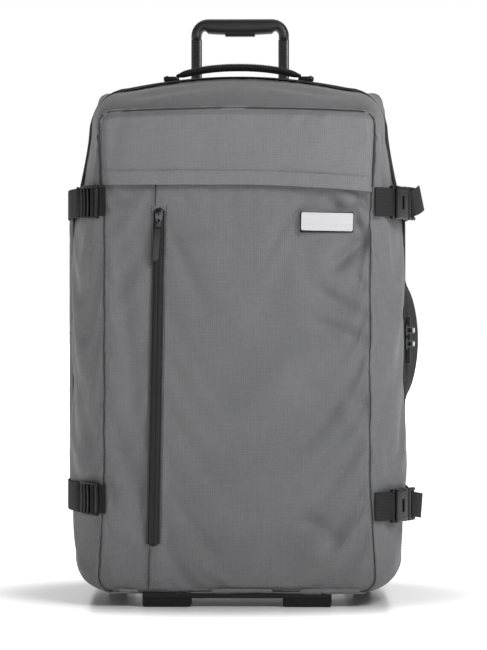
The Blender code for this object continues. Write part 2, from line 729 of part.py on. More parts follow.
def make_trolley(looks):
    tops = {"outer": 0.6885, "mid": 0.6990, "inner": GRIP_LOW - GAP}
    bottoms = {"outer": 0.0435, "mid": 0.0500, "inner": 0.0560}
    tubes = {}
    for stage in TUBE_SIZES:
        for side, word in ((-1, "left"), (1, "right")):
            name = f"{stage}_tube_{word}"
            tubes[name] = add_tube(name, stage, side, bottoms[stage], tops[stage], looks["tube"])
    make_bezel(looks)
    make_foot_bracket(looks)
    grip = make_grip(looks)
    button = make_release_button(looks)
    mid = add_empty("trolley_mid_slide", (0, TUBE_Y, tops["mid"]))
    inner = add_empty("trolley_inner_slide", (0, TUBE_Y, tops["inner"]), mid)
    attach([tubes["mid_tube_left"], tubes["mid_tube_right"]], mid)
    attach([tubes["inner_tube_left"], tubes["inner_tube_right"], grip, button], inner)


# ---------------------------------------------------------------- wheels and base

HOUSING_FRONT, HOUSING_BACK = 0.0630, 0.1480
HOUSING_LOW, HOUSING_TOP = 0.0125, 0.0970


def make_wheel(side, word, looks):
    centre = Vector((side * WHEEL_X, WHEEL_Y, WHEEL_RADIUS))
    low, high = sorted((side * (WHEEL_X - 0.0240), side * (WHEEL_X + 0.0345)))
    housing = add_box("wheel_housing_" + word, (low, HOUSING_FRONT, HOUSING_LOW),
                      (high, HOUSING_BACK, HOUSING_TOP), looks["plastic"], 0.0080, 2)
    well = add_cylinder("wheel_well_" + word, centre, (1, 0, 0), 0.0490, WHEEL_WIDTH + 0.004, None, 40)
    hole = add_cylinder("axle_hole_" + word, centre, (1, 0, 0), AXLE_RADIUS + 0.0004, 0.0420, None, 24)
    combine(housing, well, "DIFFERENCE")
    combine(housing, hole, "DIFFERENCE")
    add_cylinder("wheel_axle_" + word, centre, (1, 0, 0), AXLE_RADIUS, 0.0400, looks["steel"], 24)
    half = WHEEL_WIDTH / 2
    bore = AXLE_RADIUS + 0.0003
    hub = add_turned("wheel_hub_" + word, [
        (0.0300, half - 0.003), (0.0300, -half + 0.003), (0.0270, -half + 0.003), (0.0250, -half + 0.006),
        (0.0100, -half + 0.006), (0.0085, -half + 0.0006), (bore, -half + 0.0006),
        (bore, half - 0.0006), (0.0085, half - 0.0006), (0.0100, half - 0.006), (0.0250, half - 0.006),
        (0.0270, half - 0.003),
    ], centre, (1, 0, 0), looks["plastic"], 32)
    tyre = add_turned("tyre_" + word, [
        (0.0385, half), (0.0412, half - 0.0035), (WHEEL_RADIUS, 0.0),
        (0.0412, -half + 0.0035), (0.0385, -half),
        (0.0303, -half + 0.001), (0.0303, half - 0.001),
    ], centre, (1, 0, 0), looks["tyre"], 48)
    axis = add_empty("wheel_axis_" + word, centre)
    attach([hub, tyre], axis)


def make_base(looks):
    """The moulded plate under the bag, whose front edge carries the two feet."""
    plate_low = 0.0112
    base = add_box("base_plate", (-0.1215, -0.1460, plate_low), (0.1215, 0.0560, BOTTOM_Z - GAP),
                   looks["plastic"], 0.0012)
    for side, word in ((-1, "left"), (1, "right")):
        low, high = sorted((side * 0.0590, side * 0.1215))
        foot = add_box("foot_" + word, (low, -0.1445, 0.0), (high, -0.1130, 0.0180), None, 0.0025, 2)
        combine(base, foot)
    return base


def make_back_pieces(looks):
    add_box("frame_board", (-0.1930, 0.1010, 0.1000), (0.1930, 0.1034, 0.6680), looks["lining"])
    skid = add_box("back_skid_plate", (-0.1200, BACK_Y + GAP, 0.1150), (0.1200, BACK_Y + 0.0040, 0.4200),
                   looks["plastic"], 0.0012)
    for index, x in enumerate((-0.0850, 0.0, 0.0850)):
        rib = add_box(f"skid_rib_{index}", (x - 0.0070, BACK_Y + 0.0020, 0.1250),
                      (x + 0.0070, BACK_Y + 0.0095, 0.4100), None, 0.0020)
        combine(skid, rib)
    return skid


# ---------------------------------------------------------------- lock and main zip sliders

LOCK_FRONT, LOCK_BACK = -0.0245, 0.0160
LOCK_FACE = 0.2300
DIAL_RADIUS = 0.0075
DIAL_AXIS = (0.2238, 0.0050)
PIN_X = 0.2325
PULL_LENGTH = 0.0250


def make_lock(looks):
    case = add_box("lock_case", (MAIN_SLIDER_X + GAP, LOCK_FRONT, LOCK_Z - 0.0325),
                   (LOCK_FACE, LOCK_BACK, LOCK_Z + 0.0325), looks["plastic"], 0.0020, 2)
    body = add_box("lock_body", (0.2130, LOCK_FRONT + 0.0020, LOCK_Z - 0.0300),
                   (0.2250, LOCK_BACK - 0.0020, LOCK_Z + 0.0300), None)
    combine(case, body)
    for index, step in enumerate((-1, 0, 1)):
        middle = LOCK_Z + step * 0.0085
        centre = Vector((DIAL_AXIS[0], DIAL_AXIS[1], middle))
        room = add_cylinder(f"dial_room_{index}", centre, (0, 0, 1), DIAL_RADIUS + 0.0006, 0.0062, None, 24)
        combine(case, room, "DIFFERENCE")
        add_cylinder(f"lock_dial_{index + 1}", centre, (0, 0, 1), DIAL_RADIUS, 0.0054, looks["plastic"], 20)
    low = LOCK_Z + 0.0185
    cut_box(case, "button_well", (0.2245, 0.0000, low - GAP), (0.2400, 0.0110, low + 0.0083))
    add_box("lock_button", (0.2265, 0.0003, low), (LOCK_FACE + 0.0012, 0.0107, low + 0.0080),
            looks["steel"], 0.0006)
    return case


def make_main_slider(word, sign, looks):
    """A slider whose plates hold both tapes, with an upright pin that its puller turns on."""
    middle = SLIDERS_MEET_Z + sign * SLIDER_SPACING / 2
    wall = MAIN_SLIDER_X
    slider = add_box("main_slider_" + word, (wall + 0.0004, ZIP_Y - 0.0065, middle - 0.0080),
                     (wall + 0.0024, ZIP_Y + 0.0065, middle + 0.0080), looks["steel"], 0.0007)
    inner = add_box("inner_plate_" + word, (wall - 0.0060, ZIP_Y - 0.0065, middle - 0.0072),
                    (wall - WALL - 0.0006, ZIP_Y + 0.0065, middle + 0.0072), None)
    post = add_box("post_" + word, (wall - 0.0050, ZIP_Y - 0.0006, middle - 0.0040),
                   (wall + 0.0010, ZIP_Y + 0.0006, middle + 0.0040), None)
    combine(slider, inner)
    combine(slider, post)
    for edge in (-1, 1):
        z = middle + edge * 0.0040
        ear = add_box(f"ear_{word}_{edge}", (wall + 0.0020, ZIP_Y - 0.0016, z - 0.0008),
                      (PIN_X + 0.0018, ZIP_Y + 0.0016, z + 0.0008), None)
        combine(slider, ear)
    pin = add_cylinder("pull_pin_" + word, (PIN_X, ZIP_Y, middle), (0, 0, 1), 0.0009, 0.0082, None, 12)
    combine(slider, pin)
    puller = add_box("main_puller_" + word, (PIN_X - 0.0008, ZIP_Y + 0.0015, middle - 0.0028),
                     (PIN_X + 0.0008, ZIP_Y + PULL_LENGTH, middle + 0.0028), looks["steel"], 0.0004)
    eye = add_cylinder("eye_" + word, (PIN_X, ZIP_Y, middle), (0, 0, 1), 0.0023, 0.0056, None, 16)
    hole = add_cylinder("eye_hole_" + word, (PIN_X, ZIP_Y, middle), (0, 0, 1), 0.0013, 0.0200, None, 12)
    combine(puller, eye)
    combine(puller, hole, "DIFFERENCE")
    axis = add_empty("main_puller_axis_" + word, (PIN_X, ZIP_Y, middle))
    attach([puller], axis)
    attach([axis], slider)


# ---------------------------------------------------------------- carry handles

TOP_HANDLE_Y, TOP_HANDLE_Z = 0.0, 0.6985
SIDE_HANDLE_Y, SIDE_HANDLE_X = 0.0450, 0.2262


def make_top_handle(looks):
    """A padded arch between two moulded anchors, tilting about the line through its ends."""
    stations = []
    for share in (-1.0, -0.93, -0.84, -0.72, -0.45, 0.0, 0.45, 0.72, 0.84, 0.93, 1.0):
        lift = 0.0095 * (1 - abs(share) ** 3.0)
        padded = abs(share) < 0.8
        stations.append((Vector((share * 0.0820, TOP_HANDLE_Y, TOP_HANDLE_Z + lift)),
                         0.0040 if padded else 0.0020, 0.0145 if padded else 0.0045))
    handle = add_strip("top_handle", stations, (0, 1, 0), looks["webbing"])
    axis = add_empty("top_handle_axis", (0, TOP_HANDLE_Y, TOP_HANDLE_Z))
    attach([handle], axis)
    for side, word in ((-1, "left"), (1, "right")):
        low, high = sorted((side * 0.0830, side * 0.0990))
        add_box("top_handle_anchor_" + word, (low, TOP_HANDLE_Y - 0.0120, 0.6892),
                (high, TOP_HANDLE_Y + 0.0120, 0.7010), looks["plastic"], 0.0025, 2)


def make_side_handle(looks):
    stations = []
    for share in (-1.0, -0.93, -0.84, -0.72, -0.45, 0.0, 0.45, 0.72, 0.84, 0.93, 1.0):
        lift = 0.0120 * (1 - abs(share) ** 3.0)
        padded = abs(share) < 0.8
        stations.append((Vector((SIDE_HANDLE_X + lift, SIDE_HANDLE_Y, LOCK_Z - 0.001 + share * 0.0800)),
                         0.0032 if padded else 0.0016, 0.0140 if padded else 0.0045))
    handle = add_strip("side_handle", stations, (0, 1, 0), looks["webbing"])
    axis = add_empty("side_handle_axis", (SIDE_HANDLE_X, SIDE_HANDLE_Y, LOCK_Z))
    attach([handle], axis)


# ---------------------------------------------------------------- assembly

def main():
    global parts, cutters
    clear_scene()
    parts = make_collection("rolling_duffel_bag")
    cutters = make_collection("cutters")
    looks = make_materials()

    hinge = add_empty("lid_hinge_axis", (HINGE_X, ZIP_Y, 0.0))
    lid_tape, _, _ = make_zip_tapes(looks)
    make_back_shell(looks)
    on_lid = [make_front_shell(looks), lid_tape, make_pocket_flap(looks), make_nameplate(looks)]
    on_lid.append(make_front_pocket_zip(looks))
    on_lid += make_top_pocket_zip(looks)
    for place, height in STRAP_HEIGHTS.items():
        side = 1 if place.endswith("right") else -1
        if side > 0:
            on_lid.append(make_buckle(place, side, height, looks))
            make_strap("strap_rear_" + place, side, height, (-0.1, 0.1), looks)
        else:
            on_lid.append(make_ladder_lock(place, side, height, looks))
            on_lid.append(make_strap("strap_front_" + place, side, height, (-0.1, ZIP_Y - 0.005), looks))
            make_strap("strap_rear_" + place, side, height, (ZIP_Y + 0.005, 0.1), looks)
    attach(on_lid, hinge)

    make_trolley(looks)
    for side, word in ((-1, "left"), (1, "right")):
        make_wheel(side, word, looks)
    make_base(looks)
    make_back_pieces(looks)
    make_lock(looks)
    make_main_slider("upper", 1, looks)
    make_main_slider("lower", -1, looks)
    make_top_handle(looks)
    make_side_handle(looks)


main()
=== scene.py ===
"""Looks of a large wheeled duffel bag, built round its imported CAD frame. Metres, +Z up, front facing -Y.

The fabric halves are lofted shells that a short cloth simulation settles. Webbing, zips, handles and
buckles are swept or extruded meshes placed from the same sizes as the CAD, and the rest are CAD nodes
with finished materials.
"""

import math

import bmesh
import bpy
import numpy as np
from mathutils import Matrix, Vector, noise
from mathutils.bvhtree import BVHTree
from mathutils.kdtree import KDTree


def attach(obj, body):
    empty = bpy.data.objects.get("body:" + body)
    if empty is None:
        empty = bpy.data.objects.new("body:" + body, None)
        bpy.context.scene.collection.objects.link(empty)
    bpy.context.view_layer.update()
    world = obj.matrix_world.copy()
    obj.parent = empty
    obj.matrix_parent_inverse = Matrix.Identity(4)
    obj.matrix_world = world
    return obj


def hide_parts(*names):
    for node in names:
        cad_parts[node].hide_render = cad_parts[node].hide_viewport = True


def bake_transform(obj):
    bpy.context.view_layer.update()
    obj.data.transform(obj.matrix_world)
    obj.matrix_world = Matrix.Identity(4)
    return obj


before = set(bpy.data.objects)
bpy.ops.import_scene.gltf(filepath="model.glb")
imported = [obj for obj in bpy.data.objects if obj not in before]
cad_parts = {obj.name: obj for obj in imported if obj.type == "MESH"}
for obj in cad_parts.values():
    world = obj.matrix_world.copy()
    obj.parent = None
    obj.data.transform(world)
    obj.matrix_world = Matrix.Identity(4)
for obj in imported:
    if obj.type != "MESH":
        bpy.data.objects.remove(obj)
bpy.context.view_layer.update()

# Sizes shared with the CAD
ZIP_Y = -0.035                   # plane of the main zip
RIM = 0.004                      # from the zip plane to each half's rim
SEAM_Y = -0.146
FRONT_Y = -0.150
BACK_Y = 0.140
WALL = 0.003
BACK_EDGE = 0.016                # rounding between the sides and the back panel
STRAIGHT_LOW, STRAIGHT_HIGH = 0.160, 0.500
ZIP_OUTLINE = {
    "bottom": 0.0193, "low_width": 0.217, "low_corner": (0.040, 0.044), "width": 0.222,
    "top_width": 0.199, "top_corner": (0.053, 0.062), "shoulder": 0.6780, "crown": 0.6930,
}
SEAM_OUTLINE = {
    "bottom": 0.0205, "low_width": 0.177, "low_corner": (0.018, 0.018), "width": 0.171,
    "top_width": 0.177, "top_corner": (0.018, 0.017), "shoulder": 0.6360, "crown": 0.6405,
}
BACK_OUTLINE = {
    "bottom": 0.0193, "low_width": 0.207, "low_corner": (0.020, 0.020), "width": 0.209,
    "top_width": 0.2000, "top_corner": (0.016, 0.016), "shoulder": 0.6895, "crown": 0.6900,
}
FLAT, CORNER, SIDE = 24, 8, 88   # points along half the top or bottom, round a corner, and up a side
HALF = 2 * FLAT + 2 * CORNER + SIDE
AROUND = 2 * HALF
PANEL_CORNER = FLAT + CORNER // 2
BULGE = 0.0065                   # how far the free cloth of the front may stand proud
TUCK = 0.0040                    # how far the front half is drawn in at its zip

STRAP_WIDTH = 0.038
STRAP_HEIGHTS = {"upper_right": 0.5200, "lower_right": 0.1290, "upper_left": 0.5200, "lower_left": 0.1390}
# Side, x and y of the middle, and the turn from straight back, of the buckles and the adjusters
BUCKLE_PLACE = (1, 0.2017, -0.1236, math.radians(31))
LOCK_PLACE = (-1, 0.1850, -0.1378, math.radians(38))
TUBE_X, TUBE_Y = 0.061, 0.123
POCKET_ZIP_TOP = (-0.0995, 0.5125)
POCKET_ZIP_BOTTOM = (-0.1073, 0.0780)
FLAP_HEM_LEFT, FLAP_HEM_RIGHT = 0.5410, 0.5330
FLAP_BAND = 0.0195               # depth of the flap's doubled hem
HINGE_LOW, HINGE_HIGH = 0.160, 0.505
SIDE_LEAN = math.radians(30)     # how far the side handle's front edge turns to the bag
FINE_SEAM = (0.0036, 0.0026, 0.0003)  # pitch, length and thickness of the finer stitches


# ---------------------------------------------------------------- materials

class Graph:
    """A node tree, with short ways to add its nodes."""

    def __init__(self, block, shader="Principled BSDF"):
        self.block = block
        block.use_nodes = True
        self.tree = block.node_tree
        self.shader = self.tree.nodes[shader]

    def put(self, socket, value):
        if isinstance(value, bpy.types.NodeSocket):
            self.tree.links.new(value, socket)
        else:
            socket.default_value = value

    def add(self, kind, inputs=None, **settings):
        node = self.tree.nodes.new(kind)
        for key, value in settings.items():
            setattr(node, key, value)
        for key, value in (inputs or {}).items():
            self.put(node.inputs[key], value)
        return node

    def math(self, operation, *values):
        return self.add("ShaderNodeMath", dict(enumerate(values)), operation=operation).outputs[0]

    def times(self, first, second):
        return self.math("MULTIPLY", first, second)

    def plus(self, first, second):
        return self.math("ADD", first, second)

    def less(self, first, second):
        return self.math("SUBTRACT", first, second)

    def madd(self, value, factor, addend):
        return self.math("MULTIPLY_ADD", value, factor, addend)

    def scaled(self, vector, factors):
        return self.add("ShaderNodeVectorMath", {0: vector, 1: factors}, operation="MULTIPLY").outputs[0]

    def step(self, value, low, high, start=0.0, end=1.0):
        """Eases from start to end as value goes from low to high."""
        inputs = {"Value": value, "From Min": low, "From Max": high, "To Min": start, "To Max": end}
        return self.add("ShaderNodeMapRange", inputs, interpolation_type="SMOOTHSTEP").outputs["Result"]

    def noise(self, vector, scale, detail=2.0, roughness=0.5):
        inputs = {"Vector": vector, "Scale": scale, "Detail": detail, "Roughness": roughness}
        return self.add("ShaderNodeTexNoise", inputs).outputs["Fac"]

    def mix(self, share, first, second):
        return self.add("ShaderNodeMix", {0: share, 6: first, 7: second}, data_type="RGBA").outputs[2]

    def cloth_mm(self):
        """The cloth's own coordinates in millimetres."""
        return self.scaled(self.add("ShaderNodeUVMap", uv_map="cloth").outputs[0], (1000.0,) * 3)

    def place(self):
        return self.add("ShaderNodeTexCoord").outputs["Object"]

    def apart(self, vector):
        return self.add("ShaderNodeSeparateXYZ", {0: vector}).outputs

    def wave(self, value, pitch):
        return self.math("SINE", self.times(value, 2 * math.pi / pitch))

    def bump(self, height, distance, strength):
        inputs = {"Height": height, "Distance": distance, "Strength": strength}
        self.put(self.shader.inputs["Normal"], self.add("ShaderNodeBump", inputs).outputs[0])

    def set(self, **values):
        names = {"colour": "Base Color", "roughness": "Roughness", "metallic": "Metallic",
                 "specular": "Specular IOR Level", "sheen": "Sheen Weight",
                 "sheen_roughness": "Sheen Roughness"}
        for key, value in values.items():
            self.put(self.shader.inputs[names[key]], value)
        return self.block


def grey(value, blue=1.0):
    return (value, value, value * blue, 1.0)


def material(name):
    return Graph(bpy.data.materials.new(name))


def ripstop(name, value):
    """Heathered grey cloth: a dotted grid of thicker threads, long slubs both ways, and painted shade
    darkening it along its seams.
    """
    g = material(name)
    mm = g.cloth_mm()
    u, v, _ = g.apart(mm)
    lines = []
    for axis in (u, v):
        share = g.math("FRACT", g.math("DIVIDE", axis, 2.8))
        distance = g.math("ABSOLUTE", g.less(share, 0.5))
        lines.append(g.step(distance, 0.28, 0.44))
    dots = g.times(lines[0], lines[1])
    grid = g.madd(g.math("MAXIMUM", lines[0], lines[1]), 0.45, dots)
    weave = g.times(g.wave(u, 0.8), g.wave(v, 0.8))
    streaks = []
    for stretch in ((0.035, 0.50, 1.0), (0.50, 0.028, 1.0), (0.10, 1.6, 1.0), (1.6, 0.10, 1.0)):
        streaks.append(g.noise(g.scaled(mm, stretch), 1.0, 2.0, 0.6))
    broad = g.plus(streaks[0], g.times(streaks[1], 1.25))
    fine = g.plus(streaks[2], streaks[3])
    cloud = g.noise(g.place(), 7.0, 3.0)
    tone = g.madd(g.less(broad, 1.125), 0.26, 0.52)
    tone = g.madd(g.less(fine, 1.0), 0.32, tone)
    grain = g.noise(mm, 0.75, 2.0, 0.6)
    tone = g.madd(g.less(grain, 0.5), 0.55, tone)
    tone = g.madd(g.less(cloud, 0.5), 0.25, tone)
    tone = g.madd(grid, -0.27, tone)
    colour = g.mix(tone, grey(value * 0.62, 1.06), grey(value * 1.50, 1.02))
    # Painted shade: the cloth is darkened along its seams by the amount the seam attribute gives.
    seam = g.add("ShaderNodeAttribute", attribute_name="seam").outputs["Fac"]
    colour = g.mix(seam, colour, grey(value * 0.16, 1.03))
    height = g.madd(weave, 0.35, grid)
    height = g.madd(fine, 0.5, height)
    height = g.madd(broad, 0.5, height)
    g.bump(height, 0.00022, 0.8)
    rough = g.madd(cloud, 0.12, 0.46)
    return g.set(colour=colour, roughness=rough, specular=0.35, sheen=0.05, sheen_roughness=0.5)


def webbing(name, value):
    """Tight herringbone ribs along the strap."""
    g = material(name)
    mm = g.cloth_mm()
    u, v, _ = g.apart(mm)
    zigzag = g.math("PINGPONG", v, 3.8)
    ribs = g.wave(g.plus(u, zigzag), 1.5)
    cords = g.wave(v, 1.9)
    height = g.madd(ribs, 0.5, cords)
    fuzz = g.noise(mm, 1.3, 3.0)
    tone = g.madd(height, 0.22, g.times(fuzz, 0.7))
    colour = g.mix(tone, grey(value * 0.55), grey(value * 2.1, 1.03))
    g.bump(height, 0.00022, 0.8)
    return g.set(colour=colour, roughness=0.72, specular=0.18, sheen=0.04, sheen_roughness=0.5)


def tape(name, value):
    """Zip tape: a close warp knit in rows across the tape."""
    g = material(name)
    mm = g.cloth_mm()
    u, v, _ = g.apart(mm)
    rows = g.times(g.wave(u, 1.1), g.wave(v, 1.4))
    fuzz = g.noise(mm, 1.6, 2.0)
    colour = g.mix(g.madd(rows, 0.2, fuzz), grey(value * 0.6), grey(value * 1.9, 1.03))
    g.bump(rows, 0.00014, 0.8)
    return g.set(colour=colour, roughness=0.72, specular=0.15, sheen=0.02)


def moulded(name, value, roughness=0.42, grain=1.0, blue=1.03, specular=0.5):
    """Moulded plastic: fine spark grain, faint flow marks, and edges rubbed a little lighter."""
    g = material(name)
    place = g.place()
    fine = g.noise(place, 1500.0, 2.0, 0.6)
    flow = g.noise(place, 22.0, 3.0)
    edge = g.step(g.add("ShaderNodeNewGeometry").outputs["Pointiness"], 0.52, 0.62)
    worn = g.madd(edge, 0.35, g.times(flow, 0.5))
    colour = g.mix(worn, grey(value * 0.8, blue), grey(value * 1.9, blue))
    rough = g.madd(flow, 0.14, roughness - 0.05)
    g.bump(fine, 0.00005 * grain, 0.6)
    return g.set(colour=colour, roughness=rough, specular=specular)


def metal(name, value, roughness, along, brush=1.0, blue=1.02, shine=1.0):
    """Brushed metal, with its scratches drawn out along one axis."""
    g = material(name)
    stretch = [420.0, 420.0, 420.0]
    stretch["xyz".index(along)] = 9.0
    lines = g.noise(g.scaled(g.place(), tuple(stretch)), 1.0, 4.0, 0.7)
    cloud = g.noise(g.place(), 30.0, 2.0)
    colour = g.mix(lines, grey(value * 0.82, blue), grey(min(value * 1.15, 1.0), blue))
    rough = g.madd(cloud, 0.12, roughness - 0.06)
    g.bump(lines, 0.00004 * brush, 0.5)
    return g.set(colour=colour, roughness=rough, metallic=shine)


def rubber(name):
    g = material(name)
    place = g.place()
    dust = g.noise(place, 60.0, 4.0)
    fine = g.noise(place, 900.0, 2.0)
    colour = g.mix(g.step(dust, 0.35, 0.8), grey(0.006), grey(0.017, 0.96))
    g.bump(fine, 0.00008, 0.6)
    return g.set(colour=colour, roughness=g.madd(dust, 0.2, 0.62), specular=0.2)


def lining_cloth(name, value):
    """Plain woven lining with a soft satin line."""
    g = material(name)
    mm = g.cloth_mm()
    u, v, _ = g.apart(mm)
    weave = g.times(g.wave(u, 0.6), g.wave(v, 0.6))
    slub = g.noise(g.scaled(mm, (0.08, 1.6, 1.0)), 1.0)
    colour = g.mix(slub, grey(value * 0.75), grey(value * 1.25))
    g.bump(g.plus(weave, slub), 0.0001, 0.6)
    return g.set(colour=colour, roughness=0.58, sheen=0.2, specular=0.4)


def thread(name, value):
    g = material(name)
    fuzz = g.noise(g.place(), 1400.0, 2.0)
    g.bump(fuzz, 0.00008, 0.8)
    colour = g.mix(fuzz, grey(value * 0.7), grey(value * 1.4))
    return g.set(colour=colour, roughness=0.7, sheen=0.2)


def coil(name, value):
    """Moulded nylon of the zip's teeth."""
    g = material(name)
    cloud = g.noise(g.place(), 260.0, 2.0)
    g.bump(cloud, 0.00006, 0.5)
    colour = g.mix(cloud, grey(value * 0.6), grey(value * 1.8))
    return g.set(colour=colour, roughness=0.4, specular=0.5)


LOOKS = {
    "cloth": ripstop("grey_ripstop_cloth", 0.111),
    # The flap is the front's grey ripstop painted lighter, for the light that falls on it.
    "flap": ripstop("grey_flap_cloth_painted_light", 0.131),
    "case": ripstop("grey_case_cloth", 0.115),
    "lining": lining_cloth("dark_lining", 0.11),
    "webbing": webbing("black_webbing_weave", 0.0085),
    "tape": tape("black_zip_tape", 0.006),
    "coil": coil("black_zip_coil", 0.008),
    "grey_webbing": webbing("dark_grey_webbing_weave", 0.015),
    "laminate": moulded("black_laminated_zip", 0.0085, 0.45, 0.6, 1.05, 0.25),
    "plastic": moulded("black_spark_plastic", 0.0050, 0.32, specular=0.25),
    "soft_plastic": moulded("black_soft_plastic", 0.0060, 0.48, 1.6, specular=0.20),
    "grip": moulded("dark_grip_plastic_grain", 0.014, 0.42, 1.3, 1.05, 0.35),
    "tube": metal("black_anodised_brushed", 0.05, 0.24, "z", 0.6, 1.04),
    "steel": metal("bright_steel", 0.62, 0.24, "z", 0.6),
    "dark_steel": metal("dark_plated_steel", 0.10, 0.28, "z", 0.6),
    "plate": metal("brushed_aluminium_plate", 0.52, 0.42, "x", 1.0, shine=0.35),
    "tyre": rubber("black_tyre_rubber_dusty"),
    "stitch": thread("grey_thread", 0.13),
    "dark_stitch": thread("black_thread", 0.010),
}


# ---------------------------------------------------------------- mesh building

def make_piece(name, points, faces, uvs, look):
    """A smooth mesh object from its points, faces and a uv for each face corner."""
    mesh = bpy.data.meshes.new(name)
    mesh.from_pydata([tuple(map(float, p)) for p in points], [], [tuple(map(int, f)) for f in faces])
    mesh.uv_layers.new(name="cloth").data.foreach_set("uv", np.asarray(uvs, np.float32).ravel())
    mesh.materials.append(LOOKS[look])
    mesh.shade_smooth()
    mesh.update()
    piece = bpy.data.objects.new(name, mesh)
    bpy.context.scene.collection.objects.link(piece)
    return piece


def lengths(points):
    """How far along a line each of its points lies."""
    steps = np.linalg.norm(np.diff(np.asarray(points, float), axis=0), axis=1)
    return np.concatenate([[0.0], np.cumsum(steps)])


def between(line, run, at):
    """The place at a distance along a line, where run is the distance of each of its points."""
    return np.stack([np.interp(at, run, line[:, k]) for k in range(3)], axis=-1)


def headings(line):
    """The way a line runs at each of its points."""
    line = np.asarray(line, float)
    return line[[*range(1, len(line)), -1]] - line[[0, *range(len(line) - 1)]]


def band(rows, columns, closed, across, down):
    """Faces through rows of points, and their corners' uvs from distances across and down."""
    faces, uvs = [], []
    for r in range(rows - 1):
        for c in range(columns if closed else columns - 1):
            d = (c + 1) % columns
            faces.append((r * columns + c, r * columns + d, (r + 1) * columns + d, (r + 1) * columns + c))
            uvs += [(across[c], down[r]), (across[c + 1], down[r]),
                    (across[c + 1], down[r + 1]), (across[c], down[r + 1])]
    return faces, uvs


def grid_piece(name, grid, look, closed=False):
    """A surface through rows of points. closed joins each row's last point to its first."""
    grid = np.asarray(grid, float)
    rows, columns, _ = grid.shape
    middle_row = grid[rows // 2]
    if closed:
        middle_row = np.concatenate([middle_row, middle_row[:1]])
    faces, uvs = band(rows, columns, closed, lengths(middle_row), lengths(grid[:, columns // 3]))
    return make_piece(name, grid.reshape(-1, 3), faces, uvs, look)


def sweep_piece(name, stations, profile, look, caps=True):
    """A closed profile of (across, out) points carried through (centre, across, out) stations.

    A station's fourth value, where it has one, scales the profile.
    """
    profile = np.asarray(profile, float)
    count, last = len(profile), (len(stations) - 1) * len(profile)
    points = []
    for centre, across, out, *scale in stations:
        shape = profile * np.asarray(scale[0] if scale else (1.0, 1.0))
        points += [np.asarray(centre) + a * np.asarray(across) + b * np.asarray(out) for a, b in shape]
    around = lengths(np.concatenate([profile, profile[:1]]))
    along = lengths([np.asarray(station[0], float) for station in stations])
    faces, uvs = band(len(stations), count, True, around, along)
    uvs = [(v, u) for u, v in uvs]
    if caps:
        faces += [tuple(reversed(range(count))), tuple(range(last, last + count))]
        uvs += [tuple(p) for p in profile[::-1]] + [tuple(p) for p in profile]
    return make_piece(name, points, faces, uvs, look)


def rounded_profile(width, thickness, corner, steps=3):
    """A rounded rectangle about the origin."""
    corner = min(corner, width / 2, thickness / 2)
    points = []
    for sx, sy, start in ((1, -1, -90), (1, 1, 0), (-1, 1, 90), (-1, -1, 180)):
        centre = (sx * (width / 2 - corner), sy * (thickness / 2 - corner))
        for step in range(steps + 1):
            angle = math.radians(start + 90 * step / steps)
            points.append((centre[0] + corner * math.cos(angle), centre[1] + corner * math.sin(angle)))
    return points


def round_profile(radius, count=8, flat=1.0):
    turns = [2 * math.pi * k / count for k in range(count)]
    return [(radius * math.cos(a), radius * flat * math.sin(a)) for a in turns]


def soft_profile(half_width, half_thickness, power_across, power_out, count):
    """An oval with flattened sides."""
    turns = [2 * math.pi * k / count for k in range(count)]
    return [(half_width * abs(math.cos(a)) ** power_across * math.copysign(1, math.cos(a)),
             half_thickness * abs(math.sin(a)) ** power_out * math.copysign(1, math.sin(a))) for a in turns]


def smooth_path(points, count):
    """count points at even distances along a Catmull-Rom curve through the given ones."""
    p = np.asarray(points, float)
    p = np.concatenate([[2 * p[0] - p[1]], p, [2 * p[-1] - p[-2]]])
    dense = []
    for a, b, c, d in zip(p, p[1:], p[2:], p[3:]):
        for t in np.linspace(0, 1, 24, endpoint=False):
            dense.append(0.5 * (2 * b + (c - a) * t + (2 * a - 5 * b + 4 * c - d) * t ** 2
                                + (3 * b - a - 3 * c + d) * t ** 3))
    dense = np.asarray(dense + [p[-2]])
    run = lengths(dense)
    return between(dense, run, np.linspace(0, run[-1], count))


def path_piece(name, path, across, profile, look, matrix=Matrix(), count=24, wave=0.0, seed=0.0):
    """A profile swept along a smooth path. across is the direction of its width, and wave its ripples."""
    line = smooth_path([tuple(matrix @ Vector(p)) for p in path], count)
    across = matrix.to_3x3() @ Vector(across)
    stations = []
    for index, (centre, ahead) in enumerate(zip(line, headings(line))):
        out = Vector(ahead).cross(across).normalized()
        ripple = noise.noise(Vector((index * 0.35, seed, 0.0))) * wave
        stations.append((centre + np.asarray(out) * ripple, across, out))
    return sweep_piece(name, stations, profile, look)


def joined(pieces, name):
    """One piece out of several, which keep their materials."""
    bpy.ops.object.select_all(action="DESELECT")
    for piece in pieces:
        piece.select_set(True)
    bpy.context.view_layer.objects.active = pieces[0]
    bpy.ops.object.join()
    pieces[0].name = name
    return pieces[0]


def modify(piece, kind, **settings):
    """Changes a piece by one modifier, and applies it."""
    modifier = piece.modifiers.new(kind.lower(), kind)
    for key, value in settings.items():
        setattr(modifier, key, value)
    graph = bpy.context.evaluated_depsgraph_get()
    mesh = bpy.data.meshes.new_from_object(piece.evaluated_get(graph))
    piece.modifiers.clear()
    old, piece.data = piece.data, mesh
    bpy.data.meshes.remove(old)
    return piece


def subdivide(piece):
    return modify(piece, "SUBSURF", levels=1, render_levels=1, boundary_smooth="PRESERVE_CORNERS")


